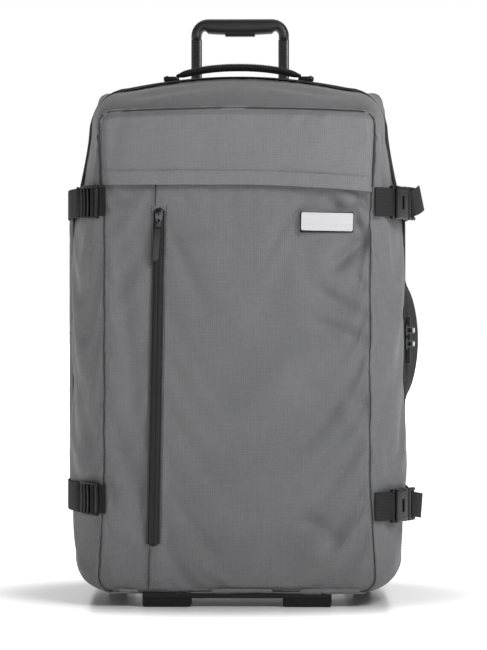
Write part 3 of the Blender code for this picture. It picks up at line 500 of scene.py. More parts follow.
def cut(piece, low, high, matrix=Matrix()):
    """Takes a box, placed by a matrix, out of a piece."""
    low, high = np.minimum(low, high), np.maximum(low, high)
    bm = bmesh.new()
    bmesh.ops.create_cube(bm, size=1.0)
    for vertex in bm.verts:
        vertex.co = matrix @ Vector(np.array(vertex.co) * (high - low) + (low + high) / 2)
    bmesh.ops.recalc_face_normals(bm, faces=bm.faces)
    mesh = bpy.data.meshes.new("cutter")
    bm.to_mesh(mesh)
    bm.free()
    cutter = bpy.data.objects.new("cutter", mesh)
    bpy.context.scene.collection.objects.link(cutter)
    modify(piece, "BOOLEAN", operation="DIFFERENCE", solver="EXACT", object=cutter)
    bpy.data.objects.remove(cutter, do_unlink=True)


def bead_piece(name, beads, look):
    """Many small closed solids, each through three rings of four points."""
    sides, _ = band(3, 4, True, range(5), range(3))
    solid = sides + [(3, 2, 1, 0), (8, 9, 10, 11)]
    faces = [tuple(12 * k + corner for corner in face) for k in range(len(beads)) for face in solid]
    return make_piece(name, np.reshape(beads, (-1, 3)), faces, np.zeros((40 * len(beads), 2)), look)


def stitches(name, line, out, look="stitch", pitch=0.0042, length=0.0029, thick=0.00042):
    """A row of thread stitches along a line. out gives the direction off the cloth at each point."""
    line = np.asarray(line, float)
    out = np.broadcast_to(np.asarray(out, float), line.shape)
    run = lengths(line)
    beads = []
    for at in np.arange(pitch / 2, run[-1] - pitch / 2, pitch):
        back, middle, front = [between(line, run, at + step) for step in (-length / 2, 0, length / 2)]
        normal = between(out, run, at)
        normal /= np.linalg.norm(normal)
        side = np.cross(front - back, normal)
        side *= thick / max(np.linalg.norm(side), 1e-9)
        bead = []
        for place, rise in ((back, -0.3), (middle, 1.0), (front, -0.3)):
            centre = place + normal * thick * rise
            bead += [centre - side, centre + normal * thick * 0.8, centre + side, centre - normal * thick]
        beads.append(bead)
    return bead_piece(name, beads, look)


def set_sharp(piece, degrees):
    piece.data.shade_smooth()
    piece.data.set_sharp_from_angle(angle=math.radians(degrees))


def rounded_outline(corners, radii, steps=5):
    """A polygon of (x, z) corners with each corner rounded."""
    points = []
    count = len(corners)
    for k, radius in enumerate(radii):
        here = np.array(corners[k], float)
        before = np.array(corners[k - 1], float) - here
        after = np.array(corners[(k + 1) % count], float) - here
        before /= np.linalg.norm(before)
        after /= np.linalg.norm(after)
        start, end = here + before * radius, here + after * radius
        for t in np.linspace(0, 1, steps):
            points.append((1 - t) ** 2 * start + 2 * t * (1 - t) * here + t * t * end)
    return np.array(points)


def plate_piece(name, outline, front, back, matrix, look, edge=0.0004):
    """A plate of an (x, z) outline between two depths, with softened edges, placed by a matrix."""
    middle = outline.mean(axis=0)
    inner = middle + (outline - middle) * (1 - edge / np.linalg.norm(outline - middle, axis=1, keepdims=True))
    rows = []
    for shape, y in ((inner, back), (outline, back - edge), (outline, front + edge), (inner, front)):
        rows.append([matrix @ Vector((x, y, z)) for x, z in shape])
    piece = grid_piece(name, rows, look, closed=True)
    bm = bmesh.new()
    bm.from_mesh(piece.data)
    bm.verts.ensure_lookup_table()
    count = len(outline)
    bm.faces.new([bm.verts[k] for k in range(count)])
    bm.faces.new([bm.verts[3 * count + k] for k in range(count)])
    bmesh.ops.recalc_face_normals(bm, faces=bm.faces)
    bm.to_mesh(piece.data)
    bm.free()
    set_sharp(piece, 50)
    return piece


def ring_piece(name, centre, radius, thick, look, matrix):
    """A round eye that faces forward."""
    turns = np.linspace(0, 2 * math.pi, 33)
    stations = []
    for a in turns:
        spoke = Vector((math.cos(a), 0, math.sin(a)))
        stations.append((matrix @ (Vector(centre) + spoke * radius), matrix.to_3x3() @ spoke,
                         matrix.to_3x3() @ Vector((0, -1, 0))))
    return sweep_piece(name, stations, round_profile(thick, 10), look, caps=False)


# ---------------------------------------------------------------- outlines of the two halves

def blended(first, second, share):
    def mix(a, b):
        if isinstance(a, tuple):
            return tuple(mix(p, q) for p, q in zip(a, b))
        return a + (b - a) * share
    return {key: mix(first[key], second[key]) for key in first}


def shrunk(form, inset):
    result = dict(form)
    for key in ("low_width", "width", "top_width", "shoulder", "crown"):
        result[key] = form[key] - inset
    result["bottom"] = form["bottom"] + inset
    for key in ("low_corner", "top_corner"):
        result[key] = tuple(max(radius - inset * 0.5, 0.004) for radius in form[key])
    return result


def side_width(form, z):
    """Half width of the bag at a height on its side."""
    low = form["bottom"] + form["low_corner"][1]
    high = form["shoulder"] - form["top_corner"][1]
    below = np.clip((STRAIGHT_LOW - z) / (STRAIGHT_LOW - low), 0, 1)
    above = np.clip((z - STRAIGHT_HIGH) / (high - STRAIGHT_HIGH), 0, 1)
    down = form["low_width"] - form["width"]
    up = form["top_width"] - form["width"]
    return form["width"] + down * (1 - (1 - below) ** 1.25) + up * (1 - (1 - above) ** 1.25)


def ring(form, y):
    """The outline as AROUND points from the middle of the bottom, anticlockwise seen from the front."""
    low_x, low_z = form["low_corner"]
    top_x, top_z = form["top_corner"]
    flat = np.linspace(0, 1, FLAT, endpoint=False)
    turn = np.linspace(0, math.pi / 2, CORNER, endpoint=False)
    points = [((form["low_width"] - low_x) * s, form["bottom"]) for s in flat]
    points += [(form["low_width"] - low_x + low_x * math.sin(a),
                form["bottom"] + low_z - low_z * math.cos(a)) for a in turn]
    heights = np.linspace(form["bottom"] + low_z, form["shoulder"] - top_z, SIDE, endpoint=False)
    points += [(side_width(form, z), z) for z in heights]
    points += [(form["top_width"] - top_x + top_x * math.cos(a),
                form["shoulder"] - top_z + top_z * math.sin(a)) for a in turn]
    edge = form["top_width"] - top_x
    rise = form["crown"] - form["shoulder"]
    points += [(edge * (1 - s), form["shoulder"] + rise * (1 - (1 - s) ** 2)) for s in flat]
    points.append((0.0, form["crown"]))
    left = [(-x, z) for x, z in reversed(points[1:-1])]
    return np.array([(x, y, z) for x, z in points + left])


def panel_rows(boundary):
    """A grid across the inside of a ring, whose edge points are the ring's own."""
    bottom = np.roll(boundary, PANEL_CORNER, axis=0)[:2 * PANEL_CORNER + 1]
    top = boundary[HALF - PANEL_CORNER:HALF + PANEL_CORNER + 1][::-1]
    right = boundary[PANEL_CORNER:HALF - PANEL_CORNER + 1]
    left = boundary[[(AROUND - PANEL_CORNER - k) % AROUND for k in range(len(right))]]
    u = np.linspace(0, 1, len(bottom))[None, :, None]
    v = np.linspace(0, 1, len(right))[:, None, None]
    rows = (1 - v) * bottom[None] + v * top[None] + (1 - u) * left[:, None] + u * right[:, None]
    rows -= ((1 - u) * (1 - v) * bottom[0] + u * (1 - v) * bottom[-1]
             + (1 - u) * v * top[0] + u * v * top[-1])
    return rows


def shell_mesh(name, rings, look):
    """Rings joined into a wall, whose last ring is closed by a panel."""
    around = lengths(np.concatenate([rings[0], rings[0][:1]]))
    steps = [np.linalg.norm(b - a, axis=1).mean() for a, b in zip(rings, rings[1:])]
    points = [p for r in rings for p in r]
    faces, uvs = band(len(rings), AROUND, True, around, np.concatenate([[0.0], np.cumsum(steps)]))
    rows = panel_rows(rings[-1])
    count_v, count_u, _ = rows.shape
    base = (len(rings) - 1) * AROUND
    u, v = np.arange(count_u), np.arange(count_v)
    index = np.zeros((count_v, count_u), int)
    index[:, 0] = base + (AROUND - PANEL_CORNER - v) % AROUND
    index[:, -1] = base + PANEL_CORNER + v
    index[0] = base + (u - PANEL_CORNER) % AROUND
    index[-1] = base + HALF + PANEL_CORNER - u
    index[1:-1, 1:-1] = len(points) + np.arange((count_v - 2) * (count_u - 2)).reshape(count_v - 2, -1)
    points += list(rows[1:-1, 1:-1].reshape(-1, 3))
    for v in range(count_v - 1):
        for u in range(count_u - 1):
            corners = ((v, u), (v, u + 1), (v + 1, u + 1), (v + 1, u))
            faces.append(tuple(index[corner] for corner in corners))
            uvs += [(rows[corner][0], rows[corner][2]) for corner in corners]
    return make_piece(name, points, faces, uvs, look)


def shell_rows(piece, rings):
    """The ring that each point of a shell is on, where the closing panel's inside counts as one more."""
    row = np.full(len(piece.data.vertices), len(rings))
    row[:len(rings) * AROUND] = np.repeat(np.arange(len(rings)), AROUND)
    return row


def tucked(form, share):
    """An outline drawn in towards the zip, most at its top corners."""
    result = shrunk(form, TUCK * share)
    result["top_corner"] = tuple(radius + 2.4 * TUCK * share for radius in form["top_corner"])
    return result


def lid_rings():
    depth = ZIP_Y - SEAM_Y
    rings = []
    for degrees in (90, 86, 81, 76, 71, 66, 61, 56, 51, 46, 41, 36, 31, 26, 21, 16, 11, 7, 3.5, 0):
        angle = math.radians(degrees)
        form = blended(SEAM_OUTLINE, ZIP_OUTLINE, math.sin(angle))
        y = ZIP_Y - depth * math.cos(angle)
        rings.append(ring(tucked(form, max(0.0, (degrees - 72) / 18) ** 1.4), min(y, ZIP_Y - RIM)))
    rings.append(ring(shrunk(SEAM_OUTLINE, 0.0030), FRONT_Y + 0.0015))
    rings.append(ring(shrunk(SEAM_OUTLINE, 0.0080), FRONT_Y + 0.0002))
    return rings


def case_rings():
    rings = []
    for share in np.linspace(0, 1, 19):
        y = ZIP_Y + RIM + (BACK_Y - BACK_EDGE - ZIP_Y - RIM) * share
        rings.append(ring(blended(ZIP_OUTLINE, BACK_OUTLINE, share), y))
    for degrees in (22, 45, 68, 90):
        angle = math.radians(degrees)
        inset = BACK_EDGE * (1 - math.cos(angle))
        rings.append(ring(shrunk(BACK_OUTLINE, inset), BACK_Y - BACK_EDGE * (1 - math.sin(angle))))
    return rings


# ---------------------------------------------------------------- settling and creasing the cloth

def read_points(vertices, what="co"):
    values = np.zeros(len(vertices) * 3)
    vertices.foreach_get(what, values)
    return values.reshape(-1, 3)


def write_points(piece, points):
    piece.data.vertices.foreach_set("co", np.asarray(points, np.float32).ravel())
    piece.data.update()


def push(piece, amounts):
    """Moves each point along its normal."""
    vertices = piece.data.vertices
    write_points(piece, read_points(vertices) + read_points(vertices, "normal") * amounts[:, None])


CLOTH = {
    "quality": 5, "mass": 0.3, "tension_stiffness": 30, "compression_stiffness": 12, "shear_stiffness": 8,
    "bending_stiffness": 0.6, "air_damping": 3, "vertex_group_mass": "held", "use_pressure": True,
}


def settle(piece, held, pressure, slack, frames, cap):
    """Runs a cloth simulation and keeps its movement up to cap metres. held is 1 where the cloth is sewn."""
    group = piece.vertex_groups.new(name="held")
    for share in np.unique(np.round(held, 1)):
        if share > 0:
            chosen = np.nonzero(np.round(held, 1) == share)[0]
            group.add([int(i) for i in chosen], float(share), "REPLACE")
    rest = read_points(piece.data.vertices)
    modifier = piece.modifiers.new("cloth", "CLOTH")
    for key, value in CLOTH.items():
        setattr(modifier.settings, key, value)
    modifier.settings.uniform_pressure_force = pressure
    modifier.settings.shrink_min = -slack
    modifier.settings.effector_weights.gravity = 0.6
    modifier.collision_settings.use_collision = False
    modifier.point_cache.frame_start = 1
    modifier.point_cache.frame_end = frames
    for step in range(1, frames + 1):
        bpy.context.scene.frame_set(step)
    graph = bpy.context.evaluated_depsgraph_get()
    moved = read_points(piece.evaluated_get(graph).to_mesh().vertices) - rest
    piece.evaluated_get(graph).to_mesh_clear()
    piece.modifiers.clear()
    bpy.context.scene.frame_set(1)
    size = np.linalg.norm(moved, axis=1, keepdims=True)
    size[size == 0] = 1.0
    limit = np.broadcast_to(np.asarray(cap, float).reshape(-1, 1), size.shape)
    write_points(piece, rest + moved / size * limit * np.tanh(size / np.maximum(limit, 1e-9)))


def smooth_noise(points, scale, seed):
    return np.array([noise.noise(Vector((x * scale + seed, y * scale, z * scale))) for x, y, z in points])


def window(value, low, high, soft):
    """1 between low and high, falling to 0 within soft outside."""
    rise = np.clip((value - low + soft) / soft, 0, 1)
    fall = np.clip((high + soft - value) / soft, 0, 1)
    return rise * rise * (3 - 2 * rise) * fall * fall * (3 - 2 * fall)


def crease(points, centre, direction, length, width, depth):
    """How far one soft fold moves each point along its normal: a ridge or, below 0, a hollow."""
    direction = np.asarray(direction, float)
    direction = direction / np.linalg.norm(direction)
    offset = points - np.asarray(centre, float)
    along = offset @ direction
    across = np.linalg.norm(offset - np.outer(along, direction), axis=1)
    return depth * np.exp(-(across / width) ** 2) * np.exp(-(along / (length / 2)) ** 4)


def front_crease(points, x, z, run_x, run_z, length, width, depth):
    return crease(points, (x, FRONT_Y, z), (run_x, 0, run_z), length, width, depth)


def stitched_seam(points, distance, pucker, reach=0.012, seed=0):
    """Small puckers that die away from a seam at distance 0."""
    wrinkle = smooth_noise(points, 85.0, seed)
    return pucker * wrinkle * np.exp(-(distance / reach) ** 2)


# ---------------------------------------------------------------- front half

LID_RINGS = lid_rings()
SEAM_ROW = 19                    # the ring of the seam round the front panel
FOLD_DEPTH, GUSSET_DEPTH = 2.8, 1.5

# Folds of the front: x and z of the middle, direction in x and z, length, width, depth
FRONT_FOLDS = [
    (0.151, 0.5155, 1.0, -1.0, 0.05, 0.008, 0.0034),
    (0.16, 0.524, 1.0, -1.0, 0.045, 0.006, -0.0026),
    (0.139, 0.504, 1.0, -1.0, 0.06, 0.007, -0.0028),
    (0.145, 0.456, 1.0, 0.85, 0.058, 0.01, -0.0044),
    (0.134, 0.389, 1.0, -0.6, 0.08, 0.009, -0.0038),
    (0.16, 0.417, 1.0, -0.6, 0.024, 0.005, -0.0022),
    (0.133, 0.355, 1.0, -0.36, 0.08, 0.009, -0.0036),
    (0.15, 0.372, 1.0, -0.5, 0.05, 0.008, 0.0018),
    (0.166, 0.476, 0.4, 1.0, 0.022, 0.006, -0.002),
    (0.085, 0.345, 1.0, -0.5, 0.12, 0.026, -0.0022),
    (0.06, 0.29, 1.0, 0.9, 0.15, 0.03, 0.0022),
    (0.12, 0.275, 1.0, -0.35, 0.12, 0.022, -0.003),
    (0.145, 0.245, 0.7, -1.0, 0.08, 0.013, 0.002),
    (0.01, 0.215, 1.0, 0.3, 0.2, 0.03, -0.0018),
    (0.088, 0.105, 1.0, 0.45, 0.12, 0.017, -0.0032),
    (0.12, 0.085, 1.0, 0.75, 0.09, 0.012, 0.002),
    (-0.01, 0.07, 1.0, -0.1, 0.22, 0.022, -0.002),
    (-0.14, 0.35, 0.1, -1.0, 0.26, 0.012, -0.0018),
    (-0.135, 0.17, 0.4, -1.0, 0.12, 0.012, -0.0024),
    (-0.15, 0.1, 1.0, -0.9, 0.07, 0.01, 0.0022),
    (-0.04, 0.43, 0.6, -1.0, 0.22, 0.034, 0.0014),
    (0.03, 0.5, 1.0, -0.2, 0.16, 0.024, -0.0014),
    (0.108, 0.102, 1.0, -0.7, 0.06, 0.01, -0.003),
    (0.128, 0.094, 0.8, 1.0, 0.05, 0.008, -0.0024),
]

# Folds round the sides: middle, direction, length, width, depth
GUSSET_FOLDS = [
    ((-0.195, -0.115, 0.250), (0.25, -0.25, -1.0), 0.130, 0.014, -0.0045),
    ((-0.200, -0.100, 0.205), (-0.2, 0.3, 1.0), 0.110, 0.012, 0.0026),
    ((-0.190, -0.125, 0.430), (-0.1, 0.1, -1.0), 0.170, 0.013, -0.0030),
    ((0.196, -0.112, 0.440), (0.12, 0.1, 1.0), 0.120, 0.013, -0.0036),
    ((0.190, -0.122, 0.270), (0.3, 0.2, 1.0), 0.140, 0.014, -0.0040),
    ((0.203, -0.098, 0.190), (-0.25, -0.2, 1.0), 0.100, 0.012, 0.0026),
    ((0.188, -0.110, 0.075), (0.7, 0.4, -1.0), 0.070, 0.010, -0.0030),
    ((-0.188, -0.110, 0.080), (-0.7, 0.4, -1.0), 0.070, 0.010, -0.0030),
    ((-0.080, -0.110, 0.672), (1.0, 0.2, 0.1), 0.120, 0.012, -0.0030),
    ((0.070, -0.105, 0.676), (1.0, -0.25, 0.0), 0.140, 0.012, -0.0034),
    ((0.185, -0.110, 0.600), (0.2, 0.3, 1.0), 0.090, 0.012, -0.0036),
    ((-0.185, -0.110, 0.600), (-0.2, 0.3, 1.0), 0.090, 0.012, -0.0030),
]


def pocket_line(z):
    """x of the pocket zip, and of the seam that it is sewn into, at a height."""
    share = (np.asarray(z, float) - POCKET_ZIP_BOTTOM[1]) / (POCKET_ZIP_TOP[1] - POCKET_ZIP_BOTTOM[1])
    return POCKET_ZIP_BOTTOM[0] + (POCKET_ZIP_TOP[0] - POCKET_ZIP_BOTTOM[0]) * share


def strap_pull(points):
    """How hard the straps pull the sides in, 0 to 1."""
    total = np.zeros(len(points))
    for place, height in STRAP_HEIGHTS.items():
        side = 1 if "right" in place else -1
        near = np.exp(-((points[:, 2] - height) / 0.030) ** 2)
        total += near * (side * points[:, 0] > 0.165)
    return np.clip(total, 0, 1)


def make_lid_cloth():
    piece = shell_mesh("lid_cloth", LID_RINGS, "cloth")
    rest = read_points(piece.data.vertices)
    x, _, z = rest.T
    row = shell_rows(piece, LID_RINGS)
    panel, front, side = row >= len(LID_RINGS), row > SEAM_ROW, row < SEAM_ROW
    held = np.zeros(len(rest))
    held[row == 0] = 1.0
    held[row == 1] = 0.8
    held[row == SEAM_ROW] = 0.9
    held[panel & (np.abs(x - pocket_line(z)) < 0.010)] = 1.0
    held[panel & (z > 0.548)] = 0.9
    held[panel & (x > 0.078) & (x < 0.153) & (z > 0.476) & (z < 0.512)] = 1.0
    start = rest.copy()
    start[front, 1] += 0.0035 * (1 - held[front])
    write_points(piece, start)
    settle(piece, held, pressure=1.3, slack=0.012, frames=28, cap=np.where(side, 0.0075, 0.0055))
    move = np.zeros(len(rest))
    for fold in FRONT_FOLDS:
        move += FOLD_DEPTH * front_crease(rest, *fold) * front
    for fold in GUSSET_FOLDS:
        move += GUSSET_DEPTH * crease(rest, *fold) * side
    move -= 0.0035 * strap_pull(rest) * window(rest[:, 1], -0.130, -0.050, 0.012)
    move += 0.0010 * smooth_noise(rest, 16.0, 3.0) * (1 - held)
    push(piece, np.where(held >= 0.8, 0.0, move))
    # The panel stays behind the pieces that are sewn on it.
    points = read_points(piece.data.vertices)
    free = window(x, -0.078, 0.165, 0.014) * window(z, 0.040, 0.462, 0.022)
    free += window(x, -0.165, -0.128, 0.008) * window(z, 0.040, 0.520, 0.020)
    free += window(x, 0.156, 0.170, 0.004) * window(z, 0.470, 0.530, 0.010)
    limit = FRONT_Y + 0.0001 - BULGE * np.clip(free, 0, 1)
    points[front, 1] = np.maximum(points[front, 1], limit[front])
    points[front, 1] += 0.0045 * window(points[front, 2], 0.566, 0.8, 0.018)
    write_points(piece, points)
    subdivide(piece)
    points = read_points(piece.data.vertices)
    seam = seam_distance(points)
    rim = np.abs(points[:, 1] - (ZIP_Y - RIM))
    beside_zip = points[:, 0] - pocket_line(points[:, 2])
    on_front = points[:, 1] < SEAM_Y - 0.001
    fine = stitched_seam(points, seam, 0.0009, 0.014, 11.0) - 0.0013 * np.exp(-(seam / 0.0022) ** 2)
    fine += stitched_seam(points, rim, 0.0007, 0.012, 23.0) * (rim > 0.001)
    fine -= 0.0010 * np.exp(-(beside_zip / 0.0025) ** 2) * on_front
    fine += stitched_seam(points, np.abs(beside_zip) - 0.008, 0.0006, 0.010, 31.0) * on_front
    push(piece, fine)
    # Painted shade along the seam round the panel and along the seam beside the pocket zip.
    upright = np.abs(beside_zip + 0.0052) + np.where(on_front, 0.0, 1.0)
    paint_seam_shade(piece, 0.75 * np.exp(-(seam / 0.0016) ** 2) + 0.5 * np.exp(-(upright / 0.0018) ** 2))
    return piece


def paint_seam_shade(piece, share):
    """Stores how much painted seam shade darkens each point's cloth."""
    layer = piece.data.attributes.new("seam", "FLOAT", "POINT")
    layer.data.foreach_set("value", np.clip(share, 0, 1).astype(np.float32))


def seam_shade_cord(name, tree, line, radius):
    """A dark cord drawn along a line on the front half's surface, which the tree finds: painted shade for a
    seam's groove.
    """
    spots = [tree.find_nearest(Vector(tuple(map(float, point))))[:2] for point in line]
    stations = [(np.array(spot), normal.cross(Vector(ahead)).normalized(), normal)
                for (spot, normal), ahead in zip(spots, headings([tuple(spot) for spot, _ in spots]))]
    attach(sweep_piece(name, stations, round_profile(radius, 6, 0.8), "dark_stitch"), "lid")


def surface_of(piece):
    return BVHTree.FromObject(piece, bpy.context.evaluated_depsgraph_get())


def seam_distance(points):
    """Distance of each point from the seam round the front panel."""
    line = ring(SEAM_OUTLINE, SEAM_Y)
    dense = []
    for a, b in zip(line, np.roll(line, -1, axis=0)):
        dense += [a, a * 0.75 + b * 0.25, (a + b) / 2, a * 0.25 + b * 0.75]
    tree = KDTree(len(dense))
    for index, point in enumerate(dense):
        tree.insert(point, index)
    tree.balance()
    return np.array([tree.find(point)[2] for point in points])


def line_inside(piece):
    """Gives a skin its thickness, with lining cloth on the inside and tape round the rim."""
    for look in ("lining", "tape"):
        piece.data.materials.append(LOOKS[look])
    modify(piece, "SOLIDIFY", thickness=WALL, offset=-1.0, use_even_offset=False, material_offset=1,
           material_offset_rim=2)


def make_front_seam_shade(tree):
    """Dark cords sunk round the front panel, and up it beside the pocket zip: painted shade in the seam
    grooves.
    """
    line = smooth_path(np.concatenate([ring(SEAM_OUTLINE, SEAM_Y)[::2], ring(SEAM_OUTLINE, SEAM_Y)[:1]]), 900)
    for word, way in (("left", -1), ("right", 1)):
        part = line[(way * line[:, 0] > 0.150) & (line[:, 2] < 0.541)]
        seam_shade_cord(f"front_panel_seam_shade_{word}", tree, part[np.argsort(part[:, 2])], 0.0010)
    # Over the top, the cord of painted seam shade lies along the flap's edge.
    over = line[line[:, 2] > 0.539]
    over = over[np.argsort(np.arctan2(over[:, 2] - 0.45, over[:, 0]))]
    over[:, 1] = SEAM_Y - 0.0017
    stations = [(p, (0, 1, 0), Vector(np.roll(over, -1, axis=0)[k] - p).normalized().cross(Vector((0, 1, 0))))
                for k, p in enumerate(over[:-1])]
    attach(sweep_piece("flap_seam_shade_cord", stations, round_profile(0.0010, 6), "dark_stitch"), "lid")
    for word, low, high in (("low", 0.0210, 0.0745), ("high", 0.5150, 0.5450)):
        upright = [(pocket_line(z) - 0.0052, FRONT_Y, z) for z in np.linspace(low, high, 30)]
        seam_shade_cord(f"pocket_seam_shade_{word}", tree, upright, 0.0008)


# ---------------------------------------------------------------- flap over the top pocket

def flap_hem(u):
    fall = np.clip((u - 0.05) / 0.95, 0, 1)
    return FLAP_HEM_LEFT + 0.0005 - (FLAP_HEM_LEFT - FLAP_HEM_RIGHT + 0.001) * fall ** 1.5


def flap_top(u):
    """Height of the seam above a place across the flap."""
    form = SEAM_OUTLINE
    top_x, top_z = form["top_corner"]
    x = abs(u) * (form["top_width"] - 0.0006)
    edge = form["top_width"] - top_x
    if x <= edge:
        return form["shoulder"] + (form["crown"] - form["shoulder"]) * (1 - (x / edge) ** 2)
    return form["shoulder"] - top_z + top_z * math.sqrt(max(0.0, 1 - ((x - edge) / top_x) ** 2))


def flap_point(u, t):
    """A point of the flap: u from -1 to 1 across, t from 0 at the hem to 1 at the seam."""
    hem, top = float(flap_hem(u)), flap_top(u)
    z = hem + (top - hem) * t
    half = float(side_width(SEAM_OUTLINE, min(z, 0.6)))
    x = u * half
    inside = min(half - abs(x), top - z)
    over = min(inside / 0.010, 1.0)
    over = over * over * (3 - 2 * over)
    hang = min((half - abs(x)) / 0.035, 1.0)
    stand_off = 0.0052 * hang * (1 - t) ** 0.9
    ripple = noise.noise(Vector((x * 14.0, z * 9.0, 5.0))) * 0.0016 * over * hang
    ripple += noise.noise(Vector((x * 34.0, z * 22.0, 9.0))) * 0.0007 * over
    band = 0.0007 if z < hem + FLAP_BAND else 0.0
    y = SEAM_Y - 0.0006 - 0.0050 * over - stand_off - band + ripple
    here = np.array([(x, FRONT_Y, z)])
    fold = sum(front_crease(here, *spec)[0] for spec in FLAP_FOLDS) * over
    return (x, y - fold, z)


# x and z of the middle, direction in x and z, length, width, depth
FLAP_FOLDS = [
    (0.074, 0.628, 1.0, 0.5, 0.02, 0.0045, 0.0016),
    (0.082, 0.622, 1.0, 0.6, 0.018, 0.004, -0.0014),
    (0.112, 0.628, 1.0, 0.8, 0.022, 0.005, 0.0015),
    (0.164, 0.571, 0.5, 1.0, 0.03, 0.006, -0.0018),
    (-0.155, 0.6, 0.3, 1.0, 0.06, 0.008, -0.0013),
    (0.02, 0.59, 1.0, 0.15, 0.16, 0.013, -0.001),
    (-0.07, 0.572, 1.0, -0.2, 0.12, 0.012, 0.0009),
]


def make_flap():
    across = np.sin(np.linspace(-math.pi / 2, math.pi / 2, 89))
    across = across * 0.45 + np.linspace(-1, 1, 89) * 0.55
    hem_edge = 0.197
    up = np.concatenate([np.linspace(0, hem_edge - 0.008, 7), [hem_edge, hem_edge + 0.008],
                         np.linspace(hem_edge + 0.03, 0.86, 20), np.linspace(0.885, 1.0, 8)])
    rows = []
    for back, lift in ((0.0034, 0.0060), (0.0030, 0.0020)):
        rows.append([np.add(flap_point(u, 0.0), (0, back, lift)) for u in across])
    rows.append([np.add(flap_point(u, 0.0), (0, 0.0016, -0.0006)) for u in across])
    rows += [[np.array(flap_point(u, t)) for u in across] for t in up]
    flap = grid_piece("pocket_flap_cloth", rows, "flap")
    subdivide(flap)
    modify(flap, "SOLIDIFY", thickness=0.0008, offset=-1.0)
    line = [np.add(flap_point(u, hem_edge - 0.012), (0, -0.0003, 0)) for u in np.linspace(-0.985, 0.985, 80)]
    seam = stitches("pocket_flap_stitches", line, (0, -1, 0), "stitch")
    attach(flap, "lid")
    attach(seam, "lid")
    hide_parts("pocket_flap")


# ---------------------------------------------------------------- main zip

def outline_out(y, inset=0.0):
    """Points of the zip's outline at y, with the outward direction at each."""
    line = ring(shrunk(ZIP_OUTLINE, inset), y)
    ahead = np.roll(line, -1, axis=0) - np.roll(line, 1, axis=0)
    out = np.stack([ahead[:, 2], np.zeros(AROUND), -ahead[:, 0]], axis=1)
    return line, out / np.linalg.norm(out, axis=1, keepdims=True)


def zip_run(line):
    """The indices of the outline that the zip covers, in order: all but the hinge on the left."""
    left = [i for i in range(AROUND) if line[i][0] < -0.1 and HINGE_LOW < line[i][2] < HINGE_HIGH]
    return list(range(max(left) + 1, AROUND)) + list(range(0, min(left)))


def make_main_zip():
    line, out = outline_out(ZIP_Y)
    inner = ring(tucked(ZIP_OUTLINE, 1.0), ZIP_Y)
    run = zip_run(line)
    teeth_line = line * 0.7 + inner * 0.3
    for body, side, node in (("lid", -1, "zip_tape_lid"), ("case", 1, "zip_tape_base")):
        stations, edge = [], []
        for i in run:
            near = teeth_line[i] + np.array((0, side * 0.0012, 0)) - out[i] * 0.0004
            far = inner[i] if side < 0 else line[i]
            far = far + np.array((0, side * 0.0115, 0)) + out[i] * (0.0012 if side < 0 else 0.0004)
            across = (far - near) / np.linalg.norm(far - near)
            lift = np.cross(across, np.cross(out[i], across))
            stations.append(((near + far) / 2, across, lift, (np.linalg.norm(far - near) / 0.0104, 1.0)))
            edge.append(near * 0.2 + far * 0.8 + lift * 0.0006)
        band = sweep_piece(f"main_zip_tape_{body}", stations, rounded_profile(0.0104, 0.0010, 0.0004), "tape")
        teeth = zip_teeth(f"main_zip_teeth_{body}", teeth_line[run], out[run], side)
        zip_half = joined([band, teeth], f"main_zip_{body}")
        seam = stitches(f"main_zip_stitches_{body}", edge, out[run], "dark_stitch", *FINE_SEAM)
        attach(zip_half, body)
        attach(seam, body)
        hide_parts(node)


def zip_teeth(name, line, out, side, pitch=0.0024):
    """Half of a coil zip: rounded teeth that alternate with those of the other half."""
    run = lengths(line)
    beads = []
    for at in np.arange(pitch / 2 if side > 0 else 0.0, run[-1], pitch):
        middle, normal = between(line, run, at), between(out, run, at)
        ahead = np.cross(normal, (0, 1, 0))
        bead = []
        for reach, high, wide in ((0.0021, 0, 0.00062), (0.0011, 0.0006, 0.00075), (-0.0007, 0.0004, 0.0007)):
            centre = middle + np.array((0, side * reach, 0)) + normal * high
            for a, b in ((-1, -1), (1, -1), (0.6, 0.8), (-0.6, 0.8)):
                bead.append(centre + ahead * wide * a + normal * 0.0006 * b)
        beads.append(bead)
    return bead_piece(name, beads, "coil")


def make_hinge_gusset():
    """The strip of cloth on the left that the halves turn on."""
    rows = []
    for z in np.linspace(HINGE_LOW - 0.004, HINGE_HIGH + 0.002, 70):
        row = []
        for t in np.linspace(-1, 1, 13):
            puff = 0.0016 * (1 - t * t) + 0.0006
            ripple = 0.0005 * noise.noise(Vector((z * 60.0, t * 2.0, 1.0)))
            tuck = TUCK * max(0.0, -t) ** 1.5
            row.append((-(0.2222 + puff + ripple - tuck), ZIP_Y + t * 0.0110, z))
        rows.append(row)
    gusset = grid_piece("hinge_gusset_cloth", rows, "cloth")
    modify(gusset, "SOLIDIFY", thickness=0.0012, offset=0.0)
    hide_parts("hinge_gusset")
    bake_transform(gusset)


# ---------------------------------------------------------------- back half

def slab(low, high, look):
    """An upright block with slightly rounded edges."""
    low, high = np.minimum(low, high), np.maximum(low, high)
    middle, size = (low + high) / 2, high - low
    stations = [((middle[0], middle[1], z), (1, 0, 0), (0, 1, 0)) for z in (low[2], high[2])]
    return sweep_piece("slab", stations, rounded_profile(size[0], size[1], 0.0004), look)


def make_wheel_wells():
    """The walls inside the case that close it off from each wheel."""
    for side, word in ((-1, "left"), (1, "right")):
        inner, outer = side * 0.1437, side * 0.2058
        walls = [slab((inner, 0.0607, 0.0225), (side * 0.1455, 0.1375, 0.0993), "soft_plastic"),
                 slab((inner, 0.0605, 0.0225), (outer, 0.0625, 0.0993), "soft_plastic"),
                 slab((inner, 0.0605, 0.0975), (outer, 0.1375, 0.0995), "soft_plastic")]
        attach(joined(walls, f"wheel_well_{word}"), "case")


